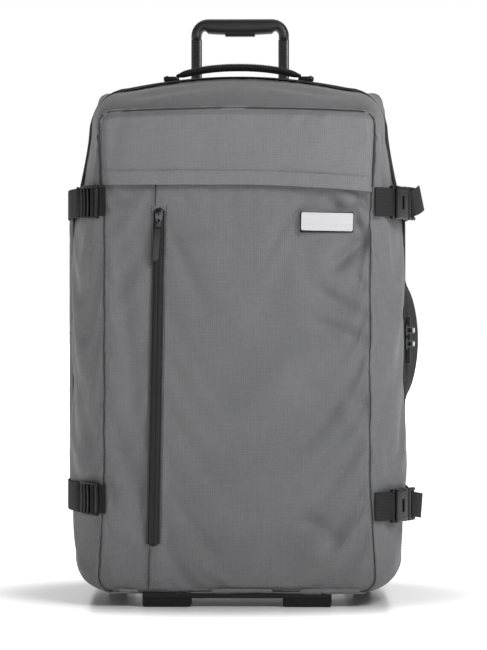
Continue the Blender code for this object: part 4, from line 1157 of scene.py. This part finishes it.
CASE_FOLDS = [
    ((0.214, 0.040, 0.580), (0.0, 0.6, 1.0), 0.120, 0.014, -0.0032),
    ((0.216, 0.075, 0.440), (0.0, 0.5, -1.0), 0.110, 0.013, -0.0028),
    ((0.215, 0.060, 0.230), (0.0, -0.4, -1.0), 0.130, 0.015, -0.0034),
    ((-0.214, 0.040, 0.590), (0.0, 0.5, 1.0), 0.120, 0.014, -0.0032),
    ((-0.217, 0.030, 0.330), (0.0, 0.35, 1.0), 0.190, 0.016, -0.0036),
    ((-0.215, 0.080, 0.230), (0.0, -0.7, 1.0), 0.120, 0.014, 0.0024),
    ((-0.120, 0.050, 0.690), (1.0, 0.5, 0.0), 0.110, 0.013, -0.0026),
    ((0.130, 0.045, 0.690), (1.0, -0.5, 0.0), 0.110, 0.013, -0.0026),
    ((0.000, 0.140, 0.520), (1.0, 0.0, 0.12), 0.240, 0.020, -0.0026),
    ((-0.150, 0.140, 0.560), (0.3, 0.0, 1.0), 0.120, 0.015, -0.0026),
    ((0.160, 0.140, 0.300), (0.1, 0.0, 1.0), 0.200, 0.016, -0.0026),
    ((-0.160, 0.140, 0.260), (-0.1, 0.0, 1.0), 0.160, 0.015, -0.0024),
]


def make_case_cloth():
    rings = case_rings()
    piece = shell_mesh("case_cloth", rings, "case")
    piece.data.flip_normals()
    rest = read_points(piece.data.vertices)
    x, y, z = rest.T
    row = shell_rows(piece, rings)
    panel = row >= len(rings)
    held = np.zeros(len(rest))
    held[row == 0] = 1.0
    held[(row == 1) | (row >= len(rings) - 4)] = 0.9
    behind_plate = panel & (np.abs(x) < 0.13) & (z < 0.435)
    near_wheels = (np.abs(x) > 0.13) & (z < 0.115) & (y > 0.045)
    near_handle = (np.abs(x) < 0.10) & (z > 0.66) & (y > 0.09)
    near_lock = (x > 0.2) & (np.abs(z - 0.342) < 0.045) & (y < 0.03)
    held[behind_plate | near_wheels | near_handle | near_lock | (z < 0.022)] = 1.0
    settle(piece, held, pressure=1.2, slack=0.008, frames=24, cap=0.0050)
    move = 0.0012 * smooth_noise(rest, 13.0, 41.0) - 0.0028 * strap_pull(rest) * (y < 0.07)
    for fold in CASE_FOLDS:
        move += crease(rest, *fold)
    push(piece, np.where(held >= 0.8, 0.0, move))
    subdivide(piece)
    points = read_points(piece.data.vertices)
    rim = np.abs(points[:, 1] - (ZIP_Y + RIM))
    back_edge = np.abs(points[:, 1] - (BACK_Y - 0.0060))
    push(piece, stitched_seam(points, rim, 0.0008, 0.012, 53.0) * (rim > 0.001)
         + stitched_seam(points, back_edge, 0.0008, 0.012, 61.0))
    line_inside(piece)
    for side in (-1, 1):
        cut(piece, (side * 0.1457, 0.0627, -0.02), (side * 0.2600, 0.1900, 0.0973))
    cut(piece, (-0.0803, 0.1047, 0.66), (0.0803, 0.1393, 0.75))
    cut(piece, (0.200, -0.0228, 0.3117), (0.250, 0.0143, 0.3723))
    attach(piece, "case")
    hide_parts("back_shell")


# ---------------------------------------------------------------- front pocket zip and plate

def make_front_pocket_zip():
    """Two laminated lips that meet over the teeth, rounded off at both ends."""
    top = np.array((POCKET_ZIP_TOP[0], 0, POCKET_ZIP_TOP[1]))
    bottom = np.array((POCKET_ZIP_BOTTOM[0], 0, POCKET_ZIP_BOTTOM[1]))
    length = np.linalg.norm(top - bottom)
    down = (bottom - top) / length
    side = np.array((-down[2], 0, down[0]))

    def place(at, offset, y):
        return top + down * at + side * offset + np.array((0, y, 0))

    rows = []
    marks = np.concatenate([np.linspace(0, 0.008, 7), np.arange(0.012, length - 0.010, 0.004),
                            np.linspace(length - 0.008, length, 7)])
    for at in marks:
        half = 0.0062 + 0.0011 * at / length
        end = min(at, length - at)
        if end < 0.006:
            half *= math.sqrt(max(1 - (1 - end / 0.006) ** 2, 0.02))
        row = []
        for t in np.linspace(-1, 1, 25):
            dome = 0.0013 * (1 - abs(t) ** 6)
            slit = 0.0010 * math.exp(-(t * half / 0.0007) ** 2)
            lip = 0.00025 * math.exp(-((abs(t * half) - 0.0018) / 0.0008) ** 2)
            edge = 0.0004 * math.exp(-((1 - abs(t)) / 0.12) ** 2)
            ripple = 0.0001 * noise.noise(Vector((t * 3.0, at * 90.0, 2.0)))
            row.append(place(at, t * half, FRONT_Y - dome + slit - lip + edge + ripple + 0.0002))
        rows.append(row)
    strip = grid_piece("front_pocket_zip_lips", rows, "laminate")
    if sum(face.normal.y for face in strip.data.polygons) > 0:
        strip.data.flip_normals()
    edges = []
    for way in (-1, 1):
        path = [place(at, way * (0.0067 + 0.0011 * at / length), FRONT_Y - 0.0004)
                for at in np.linspace(0.004, length - 0.004, 40)]
        edges.append(path_piece("zip_edge", path, side, round_profile(0.0009, 8, 0.7), "coil", count=120))
    strip = joined([strip] + edges, "front_pocket_zip_lips")
    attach(strip, "lid")
    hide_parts("front_pocket_zip")
    for word, offset in (("left", -0.0098), ("right", 0.0092)):
        line = [place(at, offset + 0.001 * at / length, FRONT_Y - 0.0001)
                for at in np.arange(-0.004, length + 0.004, 0.004)]
        seam = stitches(f"front_pocket_stitches_{word}", line, (0, -1, 0), "dark_stitch",
                        0.0038, 0.0027, 0.00035)
        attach(seam, "lid")


def line_frame():
    """The pocket zip's own frame: its top end, x across and z up the zip."""
    across, down = POCKET_ZIP_BOTTOM[0] - POCKET_ZIP_TOP[0], POCKET_ZIP_BOTTOM[1] - POCKET_ZIP_TOP[1]
    tilt = math.atan2(-across, -down)
    return Matrix.Translation((POCKET_ZIP_TOP[0], 0, POCKET_ZIP_TOP[1])) @ Matrix.Rotation(tilt, 4, "Y")


def make_pocket_slider():
    matrix = line_frame()
    face = FRONT_Y - 0.0019
    right = [(0.0036, -0.0170), (0.0047, -0.0085), (0.0040, -0.0030)]
    left = [(-x, z) for x, z in reversed(right)]
    plate = rounded_outline(left[-1:] + right + left[:-1], (0.0010, 0.0010, 0.003, 0.002, 0.002, 0.003))
    bridge = [(0, face - 0.0012, -0.0045), (0, face - 0.0034, -0.0062), (0, face - 0.0040, -0.0105),
              (0, face - 0.0034, -0.0148), (0, face - 0.0012, -0.0160)]
    parts = [plate_piece("slider_plate", plate, face - 0.0018, face, matrix, "dark_steel", 0.0006),
             path_piece("bridge", bridge, (1, 0, 0), rounded_profile(0.0028, 0.0011, 0.0005), "dark_steel",
                        matrix)]
    for way in (-1, 1):
        lip = [(way * 0.0040, face - 0.0010, -0.0045), (way * 0.0045, face - 0.0012, -0.0090),
               (way * 0.0037, face - 0.0010, -0.0160)]
        parts.append(path_piece("lip", lip, (1, 0, 0), round_profile(0.0005), "dark_steel", matrix))
    slider = joined(parts, "front_pocket_slider_detail")
    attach(slider, "front_pocket_slider")
    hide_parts("front_pocket_slider")

    pin = Matrix.Translation((0, 0, -0.0140))
    hang = matrix @ pin @ Matrix.Rotation(math.radians(3.6), 4, "Y") @ pin.inverted()
    front = face - 0.0052
    tag = rounded_outline(((-0.0050, -0.0700), (0.0050, -0.0700), (0.0047, -0.0262), (-0.0047, -0.0262)),
                          (0.0042, 0.0042, 0.0008, 0.0008))
    head = rounded_outline(((-0.0042, -0.0258), (0.0042, -0.0258), (0.0030, -0.0190), (-0.0030, -0.0190)),
                           (0.0006, 0.0006, 0.0016, 0.0016))
    middle = tag.mean(axis=0)
    rim = [(x, front - 0.0001, z) for x, z in middle + (tag - middle) * (0.90, 0.975)]
    parts = [plate_piece("puller_tag", tag, front, front + 0.0026, hang, "grip", 0.0007),
             plate_piece("puller_head", head, front + 0.0003, front + 0.0022, hang, "grip", 0.0005),
             path_piece("puller_rim", rim + rim[:1], (0, 1, 0), round_profile(0.00045), "plastic", hang, 90),
             ring_piece("puller_eye", (0, face - 0.0036, -0.0166), 0.0024, 0.0008, "dark_steel", hang)]
    puller = joined(parts, "front_pocket_puller_detail")
    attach(puller, "front_pocket_puller")
    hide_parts("front_pocket_puller")


def make_plate_shadow():
    """A black sheet round the nameplate, wider at the left and below: painted shadow of the plate."""
    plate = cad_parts["nameplate"]
    corners = np.array([plate.matrix_world @ Vector(corner) for corner in plate.bound_box])
    low, high = corners.min(axis=0), corners.max(axis=0)
    left, right, below, above = low[0] - 0.0016, high[0] + 0.0004, low[2] - 0.0016, high[2] + 0.0004
    outline = rounded_outline(((left, below), (right, below), (right, above), (left, above)), (0.0014,) * 4)
    # This dark sheet is the plate's painted shadow, not a part of the bag.
    bezel = plate_piece("nameplate_painted_shadow", outline, (low[1] + high[1]) / 2, high[1] + 0.0002, Matrix(),
                        "plastic")
    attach(bezel, "lid")


# ---------------------------------------------------------------- straps

STRAP_RUN = [(0.2228, -0.0870), (0.2248, -0.0650), (0.2250, -0.0415), (0.2246, -0.0270), (0.2242, 0.0050),
             (0.2230, 0.0400), (0.2212, 0.0770)]
LEFT_RUN = [(0.2040, -0.1235), (0.2130, -0.1040), (0.2196, -0.0850), (0.2236, -0.0650)] + STRAP_RUN[2:]


def make_straps():
    for place, height in STRAP_HEIGHTS.items():
        side = 1 if "right" in place else -1
        path = [(side * x, y, height) for x, y in (STRAP_RUN if side > 0 else LEFT_RUN)]
        strap = path_piece(f"strap_{place}", path, (0, 0, 1), rounded_profile(STRAP_WIDTH, 0.0017, 0.0007),
                           "webbing", count=60, wave=0.0006, seed=height)
        if side > 0:
            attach(strap, "case")
            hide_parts(f"strap_rear_{place}")
        else:
            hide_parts(f"strap_rear_{place}", f"strap_front_{place}")
            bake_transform(strap)
        near = [(side * 0.2238, 0.044, height + rise) for rise in (-0.0155, 0.0155)]
        far = [(side * 0.2226, 0.073, height + rise) for rise in (-0.0155, 0.0155)]
        box = [near[0], near[1], far[1], far[0], near[0], far[1]]
        rows = [stitches("stitches", ends, (side, 0, 0), "dark_stitch", 0.0034, 0.0026, 0.0003)
                for ends in [*zip(box, box[1:]), (near[1], far[0])]]
        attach(joined(rows, f"strap_stitches_{place}"), "case")


def strap_matrix(side, x, y, angle, height):
    """Place of a buckle or an adjuster: out of the side, along the strap and across it."""
    along = Vector((side * math.sin(angle), math.cos(angle), 0))
    out = Vector((side * math.cos(angle), -math.sin(angle), 0))
    turn = Matrix((out, along, out.cross(along))).transposed().to_4x4()
    return Matrix.Translation((side * x, y, height)) @ turn


def bar(matrix, along, out, half, profile, bow=0.0):
    """A plastic bar across the strap, bowed along it by bow."""
    path = [(out, along + bow * (1 - t * t), half * t) for t in np.linspace(-1, 1, 9)]
    return path_piece("bar", path, (0, 1, 0), profile, "plastic", matrix, 17)


def rail(matrix, ends, out, z, profile, look="plastic", crown=0.0016):
    """A rail along the strap at height z, arched outwards by crown."""
    path = [(out + crown * (1 - t * t), ends[0] + (ends[1] - ends[0]) * (t + 1) / 2, z)
            for t in np.linspace(-1, 1, 9)]
    return path_piece("rail", path, (0, 0, 1), profile, look, matrix, 17)


def webbing_piece(path, across, trim, thickness, corner, look, matrix, count):
    """A length of strap along a path, narrower than the full strap by trim."""
    profile = rounded_profile(STRAP_WIDTH - trim, thickness, corner)
    return path_piece("webbing", path, across, profile, look, matrix, count)


def make_ladder_locks():
    layer = [(0.0022, -0.0200, 0), (0.0030, -0.0140, 0), (0.0070, -0.0099, 0), (0.0074, -0.0058, 0),
             (0.0030, -0.0010, 0), (0.0022, 0.0050, 0), (0.0020, 0.0140, 0), (0.0018, 0.0240, 0)]
    tail = [(0.0030, 0.0110, -0.0005), (0.0036, 0.0170, -0.0010), (0.0052, 0.0225, -0.0018),
            (0.0064, 0.0270, -0.0030)]
    tab = [(-0.0046, -0.0216, 0), (-0.0012, -0.0190, 0), (0.0026, -0.0160, 0)]
    for place in ("upper_left", "lower_left"):
        matrix = strap_matrix(*LOCK_PLACE, STRAP_HEIGHTS[place])
        parts = []
        for index, share in enumerate(np.linspace(-1, 1, 5)):
            crown = 0.0048 + 0.0016 * (1 - share ** 2)
            profile = rounded_profile(0.0046 if index in (0, 4) else 0.0036, 0.0042, 0.0013)
            parts.append(bar(matrix, 0.0024 + 0.0164 * share, crown, 0.0190, profile, -0.0011))
        for z in (-0.0196, 0.0196):
            parts.append(rail(matrix, (-0.0160, 0.0208), 0.0044, z, rounded_profile(0.0038, 0.0052, 0.0016)))
        parts += [webbing_piece(layer, (0, 0, 1), 0.003, 0.0016, 0.0006, "webbing", matrix, 60),
                  webbing_piece(tail, (0, -0.06, 1), 0.002, 0.0030, 0.0010, "grey_webbing", matrix, 24),
                  webbing_piece(tab, (0, 0, 1), 0.001, 0.0026, 0.0008, "webbing", matrix, 12)]
        lock = joined(parts, f"ladder_lock_{place}_detail")
        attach(lock, "lid")
        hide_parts(f"ladder_lock_{place}")


def make_side_buckles():
    for place in ("upper_right", "lower_right"):
        matrix = strap_matrix(*BUCKLE_PLACE, STRAP_HEIGHTS[place])
        make_buckle_body(place, matrix)
        make_buckle_head(place, matrix)


def make_buckle_body(place, matrix):
    """The half that holds the arms: a crowned box, open at one end and at both sides."""
    turn = matrix.to_3x3()
    across, out = turn @ Vector((0, 0, 1)), turn @ Vector((1, 0, 0))
    stations = []
    for t in np.linspace(0, 1, 25):
        waist = 1 - 0.045 * math.exp(-((t - 0.52) / 0.20) ** 2)
        end = 0.86 + 0.14 * min(min(t, 1 - t) / 0.06, 1.0) ** 0.5
        thick = (0.90 + 0.10 * math.sin(math.pi * t)) * end
        centre = matrix @ Vector((0.0058, -0.0095 + 0.0312 * t, 0))
        stations.append((centre, across, out, (waist * (0.97 + 0.03 * end), thick)))
    body = sweep_piece("body", stations, rounded_profile(0.0432, 0.0108, 0.0030, 5), "plastic")
    for low, high in (((0.0028, -0.0040, -0.0178), (0.0088, 0.0300, 0.0178)),
                      ((0.0024, -0.0010, -0.0300), (0.0092, 0.0125, -0.0150)),
                      ((0.0024, -0.0010, 0.0150), (0.0092, 0.0125, 0.0300)),
                      ((0.0095, 0.0030, -0.0085), (0.0130, 0.0100, 0.0085))):
        cut(body, low, high, matrix)
    set_sharp(body, 42)
    parts = [body, bar(matrix, -0.0125, 0.0052, 0.0185, rounded_profile(0.0040, 0.0062, 0.0016))]
    for z in (-0.0190, 0.0190):
        profile = rounded_profile(0.0046, 0.0064, 0.0018)
        parts.append(rail(matrix, (-0.0140, -0.0080), 0.0052, z, profile, crown=0))
        parts.append(rail(matrix, (-0.0070, 0.0190), 0.0104, z * 0.80, round_profile(0.0006), "grip", 0.0006))
    tab = [(-0.0085, -0.0330, 0), (-0.0030, -0.0235, 0), (0.0018, -0.0165, 0), (0.0062, -0.0128, 0),
           (0.0048, -0.0098, 0)]
    parts.append(webbing_piece(tab, (0, 0, 1), 0.001, 0.0028, 0.0009, "grey_webbing", matrix, 24))
    buckle = joined(parts, f"buckle_female_{place}_detail")
    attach(buckle, "lid")
    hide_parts(f"buckle_female_{place}")


def make_buckle_head(place, matrix):
    """The half that releases: sprung arms, a centre guide and the bars for the strap."""
    parts = []
    for way in (-1, 1):
        arm = [(0.0058, along, way * z) for along, z in ((0.0250, 0.0130), (0.0190, 0.0142), (0.0120, 0.0182),
                                                         (0.0060, 0.0196), (0.0015, 0.0166))]
        profile = rounded_profile(0.0050, 0.0030, 0.0011)
        parts.append(path_piece("arm", arm, (1, 0, 0), profile, "plastic", matrix, 30))
    guide = [(0.0058, 0.0250, 0), (0.0058, 0.0150, 0), (0.0058, 0.0020, 0)]
    profile = rounded_profile(0.0048, 0.0050, 0.0012)
    parts.append(path_piece("guide", guide, (1, 0, 0), profile, "plastic", matrix, 12))
    parts.append(bar(matrix, 0.0268, 0.0060, 0.0205, rounded_profile(0.0086, 0.0094, 0.0026, 5)))
    for along in (0.0352, 0.0420):
        parts.append(bar(matrix, along, 0.0058, 0.0190, rounded_profile(0.0036, 0.0050, 0.0014), 0.0008))
    for z in (-0.0192, 0.0192):
        profile = rounded_profile(0.0046, 0.0068, 0.0018)
        parts.append(rail(matrix, (0.0280, 0.0440), 0.0056, z, profile, crown=0.0006))
    loop = [(0.0104, 0.0310, 0), (0.0100, 0.0340, 0), (0.0050, 0.0372, 0), (0.0028, 0.0400, 0),
            (0.0020, 0.0455, 0)]
    lift = 1.0 if place.startswith("upper") else -0.35
    tail = [(0.0086, 0.0330, 0), (0.0116, 0.0352, 0.001 * lift), (0.0140, 0.0420, 0.004 * lift),
            (0.0148, 0.0500, 0.008 * lift)]
    parts += [webbing_piece(loop, (0, 0, 1), 0.003, 0.0016, 0.0006, "webbing", matrix, 30),
              webbing_piece(tail, (0, -0.45 * lift, 1), 0.006, 0.0018, 0.0007, "grey_webbing", matrix, 26)]
    buckle = joined(parts, f"buckle_male_{place}_detail")
    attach(buckle, f"buckle_male_{place}")
    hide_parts(f"buckle_male_{place}")


# ---------------------------------------------------------------- handles and trolley

def arch_handle(name, centre, half_length, lift, width, thickness, along, out, look, ends, lean, arch):
    """A padded carry handle: webbing ends that swell into a rounded, stitched middle. lean turns its face."""
    along, out = np.asarray(along, float), np.asarray(out, float)
    across = np.cross(along, out)

    def at(share):
        middle = np.asarray(centre) + along * half_length * share + out * lift * (1 - abs(share) ** arch)
        turn = lean * (1 - abs(share) ** 4)
        cos, sin = math.cos(turn), math.sin(turn)
        return middle, across * cos + out * sin, out * cos - across * sin

    stations = []
    for share in np.linspace(-1, 1, 61):
        swell = 1 / (1 + math.exp((abs(share) - ends) * 34))
        wide, thick = [thin + (full - thin) * swell for thin, full in ((0.012, width), (0.0034, thickness))]
        stations.append((*at(share), (wide / width, thick / thickness)))
    rows = [sweep_piece(name, stations, soft_profile(width / 2, thickness / 2, 0.6, 0.8, 24), look)]
    for edge in (-1, 1):
        line = []
        for share in np.linspace(-0.74, 0.74, 60):
            middle, flat, face = at(share)
            line.append(middle + face * thickness * 0.47 + flat * edge * width * 0.36)
        rows.append(stitches("stitches", line, out, "dark_stitch", *FINE_SEAM))
    return joined(rows, name)


def make_handles():
    top = arch_handle("top_handle_padded", (0, 0, 0.6970), 0.0840, 0.0115, 0.030, 0.0085, (1, 0, 0),
                      (0, 0, 1), "webbing", 0.93, 0.0, 2.2)
    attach(top, "top_handle")
    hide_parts("top_handle")
    outline = rounded_outline(((0.0800, -0.0110), (0.1010, -0.0110), (0.1010, 0.0110), (0.0800, 0.0110)),
                              (0.0045,) * 4)
    for side, word in ((-1, "left"), (1, "right")):
        flat = Matrix(((side, 0, 0, 0), (0, 0, 1, 0), (0, -1, 0, 0), (0, 0, 0, 1)))
        parts = [plate_piece("base", outline, -0.6958, -0.6900, flat, "plastic", 0.0014)]
        for y in (-0.0055, 0.0055):
            stations = [((side * 0.0965, y, z), (1, 0, 0), (0, 1, 0), (k, k))
                        for z, k in ((0.6950, 1.0), (0.6964, 1.0), (0.6970, 0.55))]
            parts.append(sweep_piece("rivet", stations, round_profile(0.0021, 16), "dark_steel"))
        anchor = joined(parts, f"top_handle_anchor_{word}_detail")
        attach(anchor, "case")
        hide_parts(f"top_handle_anchor_{word}")
    side = arch_handle("side_handle_padded", (0.2256, 0.045, 0.341), 0.0805, 0.0110, 0.032, 0.0046, (0, 0, 1),
                       (1, 0, 0), "grey_webbing", 0.90, SIDE_LEAN, 1.7)
    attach(side, "side_handle")
    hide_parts("side_handle")


def tube_profile(width, depth, corner, groove):
    """A rounded rectangle with a groove down its front and back."""
    outline = rounded_profile(width, depth, corner, 4)
    points = []
    for (x0, y0), (x1, y1) in zip(outline, outline[1:] + outline[:1]):
        points.append((x0, y0))
        if abs(y0 - y1) < 1e-9 and abs(x1 - x0) > groove * 2.2:
            reach, floor = math.copysign(groove, x1 - x0), y0 - math.copysign(0.0007, y0)
            points += [(-reach, y0), (-0.72 * reach, floor), (0.72 * reach, floor), (reach, y0)]
    return points


def make_trolley():
    for stage, width, depth, groove, low, high in (("inner", 0.0150, 0.0100, 0.0016, 0.0560, 0.7612),
                                                   ("mid", 0.0180, 0.0130, 0.0020, 0.0500, 0.6992)):
        for side, word in ((-1, "left"), (1, "right")):
            stations = [((side * TUBE_X, TUBE_Y, z), (1, 0, 0), (0, 1, 0))
                        for z in np.linspace(low, high, 12)]
            profile = tube_profile(width, depth, 0.0034, groove)
            tube = sweep_piece(f"{stage}_tube_{word}_fluted", stations, profile, "tube", caps=False)
            set_sharp(tube, 40)
            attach(tube, f"trolley_{stage}")
            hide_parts(f"{stage}_tube_{word}")
    make_grip()


def make_grip():
    """A bent bar of one rounded section, whose ends sleeve the tubes."""
    low, top, bend, thickness = 0.7608, 0.7828, 0.0165, 0.0150
    path = [(-TUBE_X, TUBE_Y, low)]
    for turn in (math.pi * (1 - step / 24) for step in range(13)):
        path.append((-TUBE_X + bend + bend * math.cos(turn), TUBE_Y, top - bend + bend * math.sin(turn)))
    middle = [(x, TUBE_Y, top) for x in np.linspace(-0.043, 0.043, 17)]
    line = np.array(path + middle + [(-x, y, z) for x, y, z in reversed(path)])
    ahead = headings(line)
    ahead[0], ahead[-1] = (0, 0, 1), (0, 0, -1)
    ahead /= np.linalg.norm(ahead, axis=1, keepdims=True)
    stations = []
    for centre, (run, _, rise) in zip(line, ahead):
        out = np.array((-rise, 0, run))
        swell = min(max((0.0560 - abs(centre[0])) / 0.0110, 0.0), 1.0)
        crown = max(0.0, 1 - (centre[0] / 0.045) ** 2)
        thick = 0.0145 + 0.0058 * swell * swell * (3 - 2 * swell) + 0.0016 * crown
        stations.append((centre - out * (thick - thickness) / 2, (0, 1, 0), out, (1.0, thick / thickness)))
    grip = sweep_piece("grip_bar", stations, soft_profile(0.0125, thickness / 2, 0.75, 0.85, 28), "grip")
    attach(grip, "trolley_inner")
    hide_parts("grip")


# ---------------------------------------------------------------- CAD nodes that stay

NODE_LOOKS = {
    "lining": ("frame_board",),
    "tape": ("top_pocket_zip",),
    "tube": ("outer_tube_left", "outer_tube_right"),
    "plate": ("nameplate",),
    "tyre": ("tyre_left", "tyre_right"),
    "steel": ("wheel_axle_left", "wheel_axle_right", "main_puller_upper", "main_puller_lower", "lock_button"),
    "dark_steel": ("top_pocket_slider", "main_slider_upper", "main_slider_lower"),
    "soft_plastic": ("back_skid_plate", "base_plate", "wheel_housing_left", "wheel_housing_right"),
    "plastic": ("handle_bezel", "handle_foot_bracket", "lock_case", "release_button", "wheel_hub_left",
                "wheel_hub_right", "lock_dial_1", "lock_dial_2", "lock_dial_3"),
}
EDGE_ANGLE = 38                  # degrees from which an edge stays sharp


def dress_nodes():
    """Gives each CAD node that still shows its finished material, and softens its edges."""
    for look, names in NODE_LOOKS.items():
        for node in (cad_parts[name] for name in names):
            node.data.materials.clear()
            node.data.materials.append(LOOKS[look])
            if look in ("lining", "tape"):
                plain_uv(node)
            modifier = node.modifiers.new("soft_edges", "BEVEL")
            modifier.width = 0.0004
            modifier.segments = 2
            modifier.limit_method = "ANGLE"
            modifier.angle_limit = math.radians(EDGE_ANGLE)
            set_sharp(node, EDGE_ANGLE)


def plain_uv(node):
    """Flat cloth coordinates from a node's own x and z."""
    layer = node.data.uv_layers.get("cloth") or node.data.uv_layers.new(name="cloth")
    for loop in node.data.loops:
        point = node.data.vertices[loop.vertex_index].co
        layer.data[loop.index].uv = (point.x, point.z)


# ---------------------------------------------------------------- floor, light and camera

FRONT_SKY, TOP_SKY = 0.10, 0.12  # how bright the world is in front of the bag, and what it gains above
LIGHTS = (
    ("key_right", (0.80, -1.00, 1.14), (0, -0.1, 0.45), 0.6, 0.6, 18),
    ("side_left", (-2.0, -0.5, 0.8), (0, 0, 0.35), 0.9, 1.4, 5.0),
    ("side_right", (2.0, -0.1, 0.9), (0, 0, 0.35), 0.9, 1.4, 0.9),
    ("overhead", (0.0, 0.9, 2.3), (0, 0.1, 0.0), 2.2, 1.2, 8),
)


def make_stage():
    """A pale floor that glows away from the bag, so that only the ground under it is in shade."""
    bpy.ops.mesh.primitive_plane_add(size=160.0, location=(0, 0, -0.0002))
    floor = bpy.context.object
    floor.name = "studio_floor"
    g = material("white_floor")
    cloud = g.noise(g.place(), 1.5, 2.0)
    x, y, _ = g.apart(g.place())
    wide = g.times(x, 0.62)
    away = g.math("POWER", g.plus(g.times(wide, wide), g.times(y, y)), 0.5)
    g.put(g.shader.inputs["Emission Color"], grey(1.0))
    g.put(g.shader.inputs["Emission Strength"], g.step(away, 0.15, 0.32, 0.01, 0.98))
    g.set(colour=grey(0.90), roughness=g.madd(cloud, 0.08, 0.16), specular=0.4)
    floor.data.materials.append(g.block)


def make_world():
    """Light that changes with its direction: white behind the bag and low down, dim in front."""
    world = bpy.data.worlds.new("studio")
    bpy.context.scene.world = world
    g = Graph(world, "Background")
    _, y, z = g.apart(g.add("ShaderNodeTexCoord").outputs["Generated"])
    sides = g.step(y, 0.50, 0.95, FRONT_SKY, 1.0)
    above = g.times(g.step(z, 0.30, 0.80, 0.0, TOP_SKY), g.step(y, -0.35, 0.35, 0.25, 1.0))
    horizon = g.step(z, 0.09, 0.16, 1.0, 0.0)
    g.put(g.shader.inputs["Color"], grey(1.0))
    g.put(g.shader.inputs["Strength"], g.math("MAXIMUM", g.plus(sides, above), horizon))


def add_light(name, place, target, width, height, power):
    data = bpy.data.lights.new(name, "AREA")
    data.shape = "RECTANGLE"
    data.size = width
    data.size_y = height
    data.energy = power
    light = bpy.data.objects.new(name, data)
    light.location = place
    light.rotation_euler = (Vector(target) - Vector(place)).to_track_quat("-Z", "Y").to_euler()
    bpy.context.scene.collection.objects.link(light)


def make_camera():
    data = bpy.data.cameras.new("front_view")
    data.lens = 125.4
    data.sensor_width = 36.0
    camera = bpy.data.objects.new("front_view", data)
    camera.location = (0.049, -3.05, 0.362)
    camera.rotation_euler = (math.radians(90), 0, math.radians(0.80))
    bpy.context.scene.collection.objects.link(camera)
    bpy.context.scene.camera = camera


# ---------------------------------------------------------------- the whole scene

make_camera()
make_stage()
make_world()
for light_spec in LIGHTS:
    add_light(*light_spec)
bpy.context.scene.view_settings.view_transform = "Standard"

lid = make_lid_cloth()
line_inside(lid)
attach(lid, "lid")
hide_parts("front_shell")
make_front_seam_shade(surface_of(lid))
make_case_cloth()
make_wheel_wells()
make_flap()
make_main_zip()
make_hinge_gusset()
make_front_pocket_zip()
make_pocket_slider()
make_plate_shadow()
make_straps()
make_ladder_locks()
make_side_buckles()
make_handles()
make_trolley()
dress_nodes()
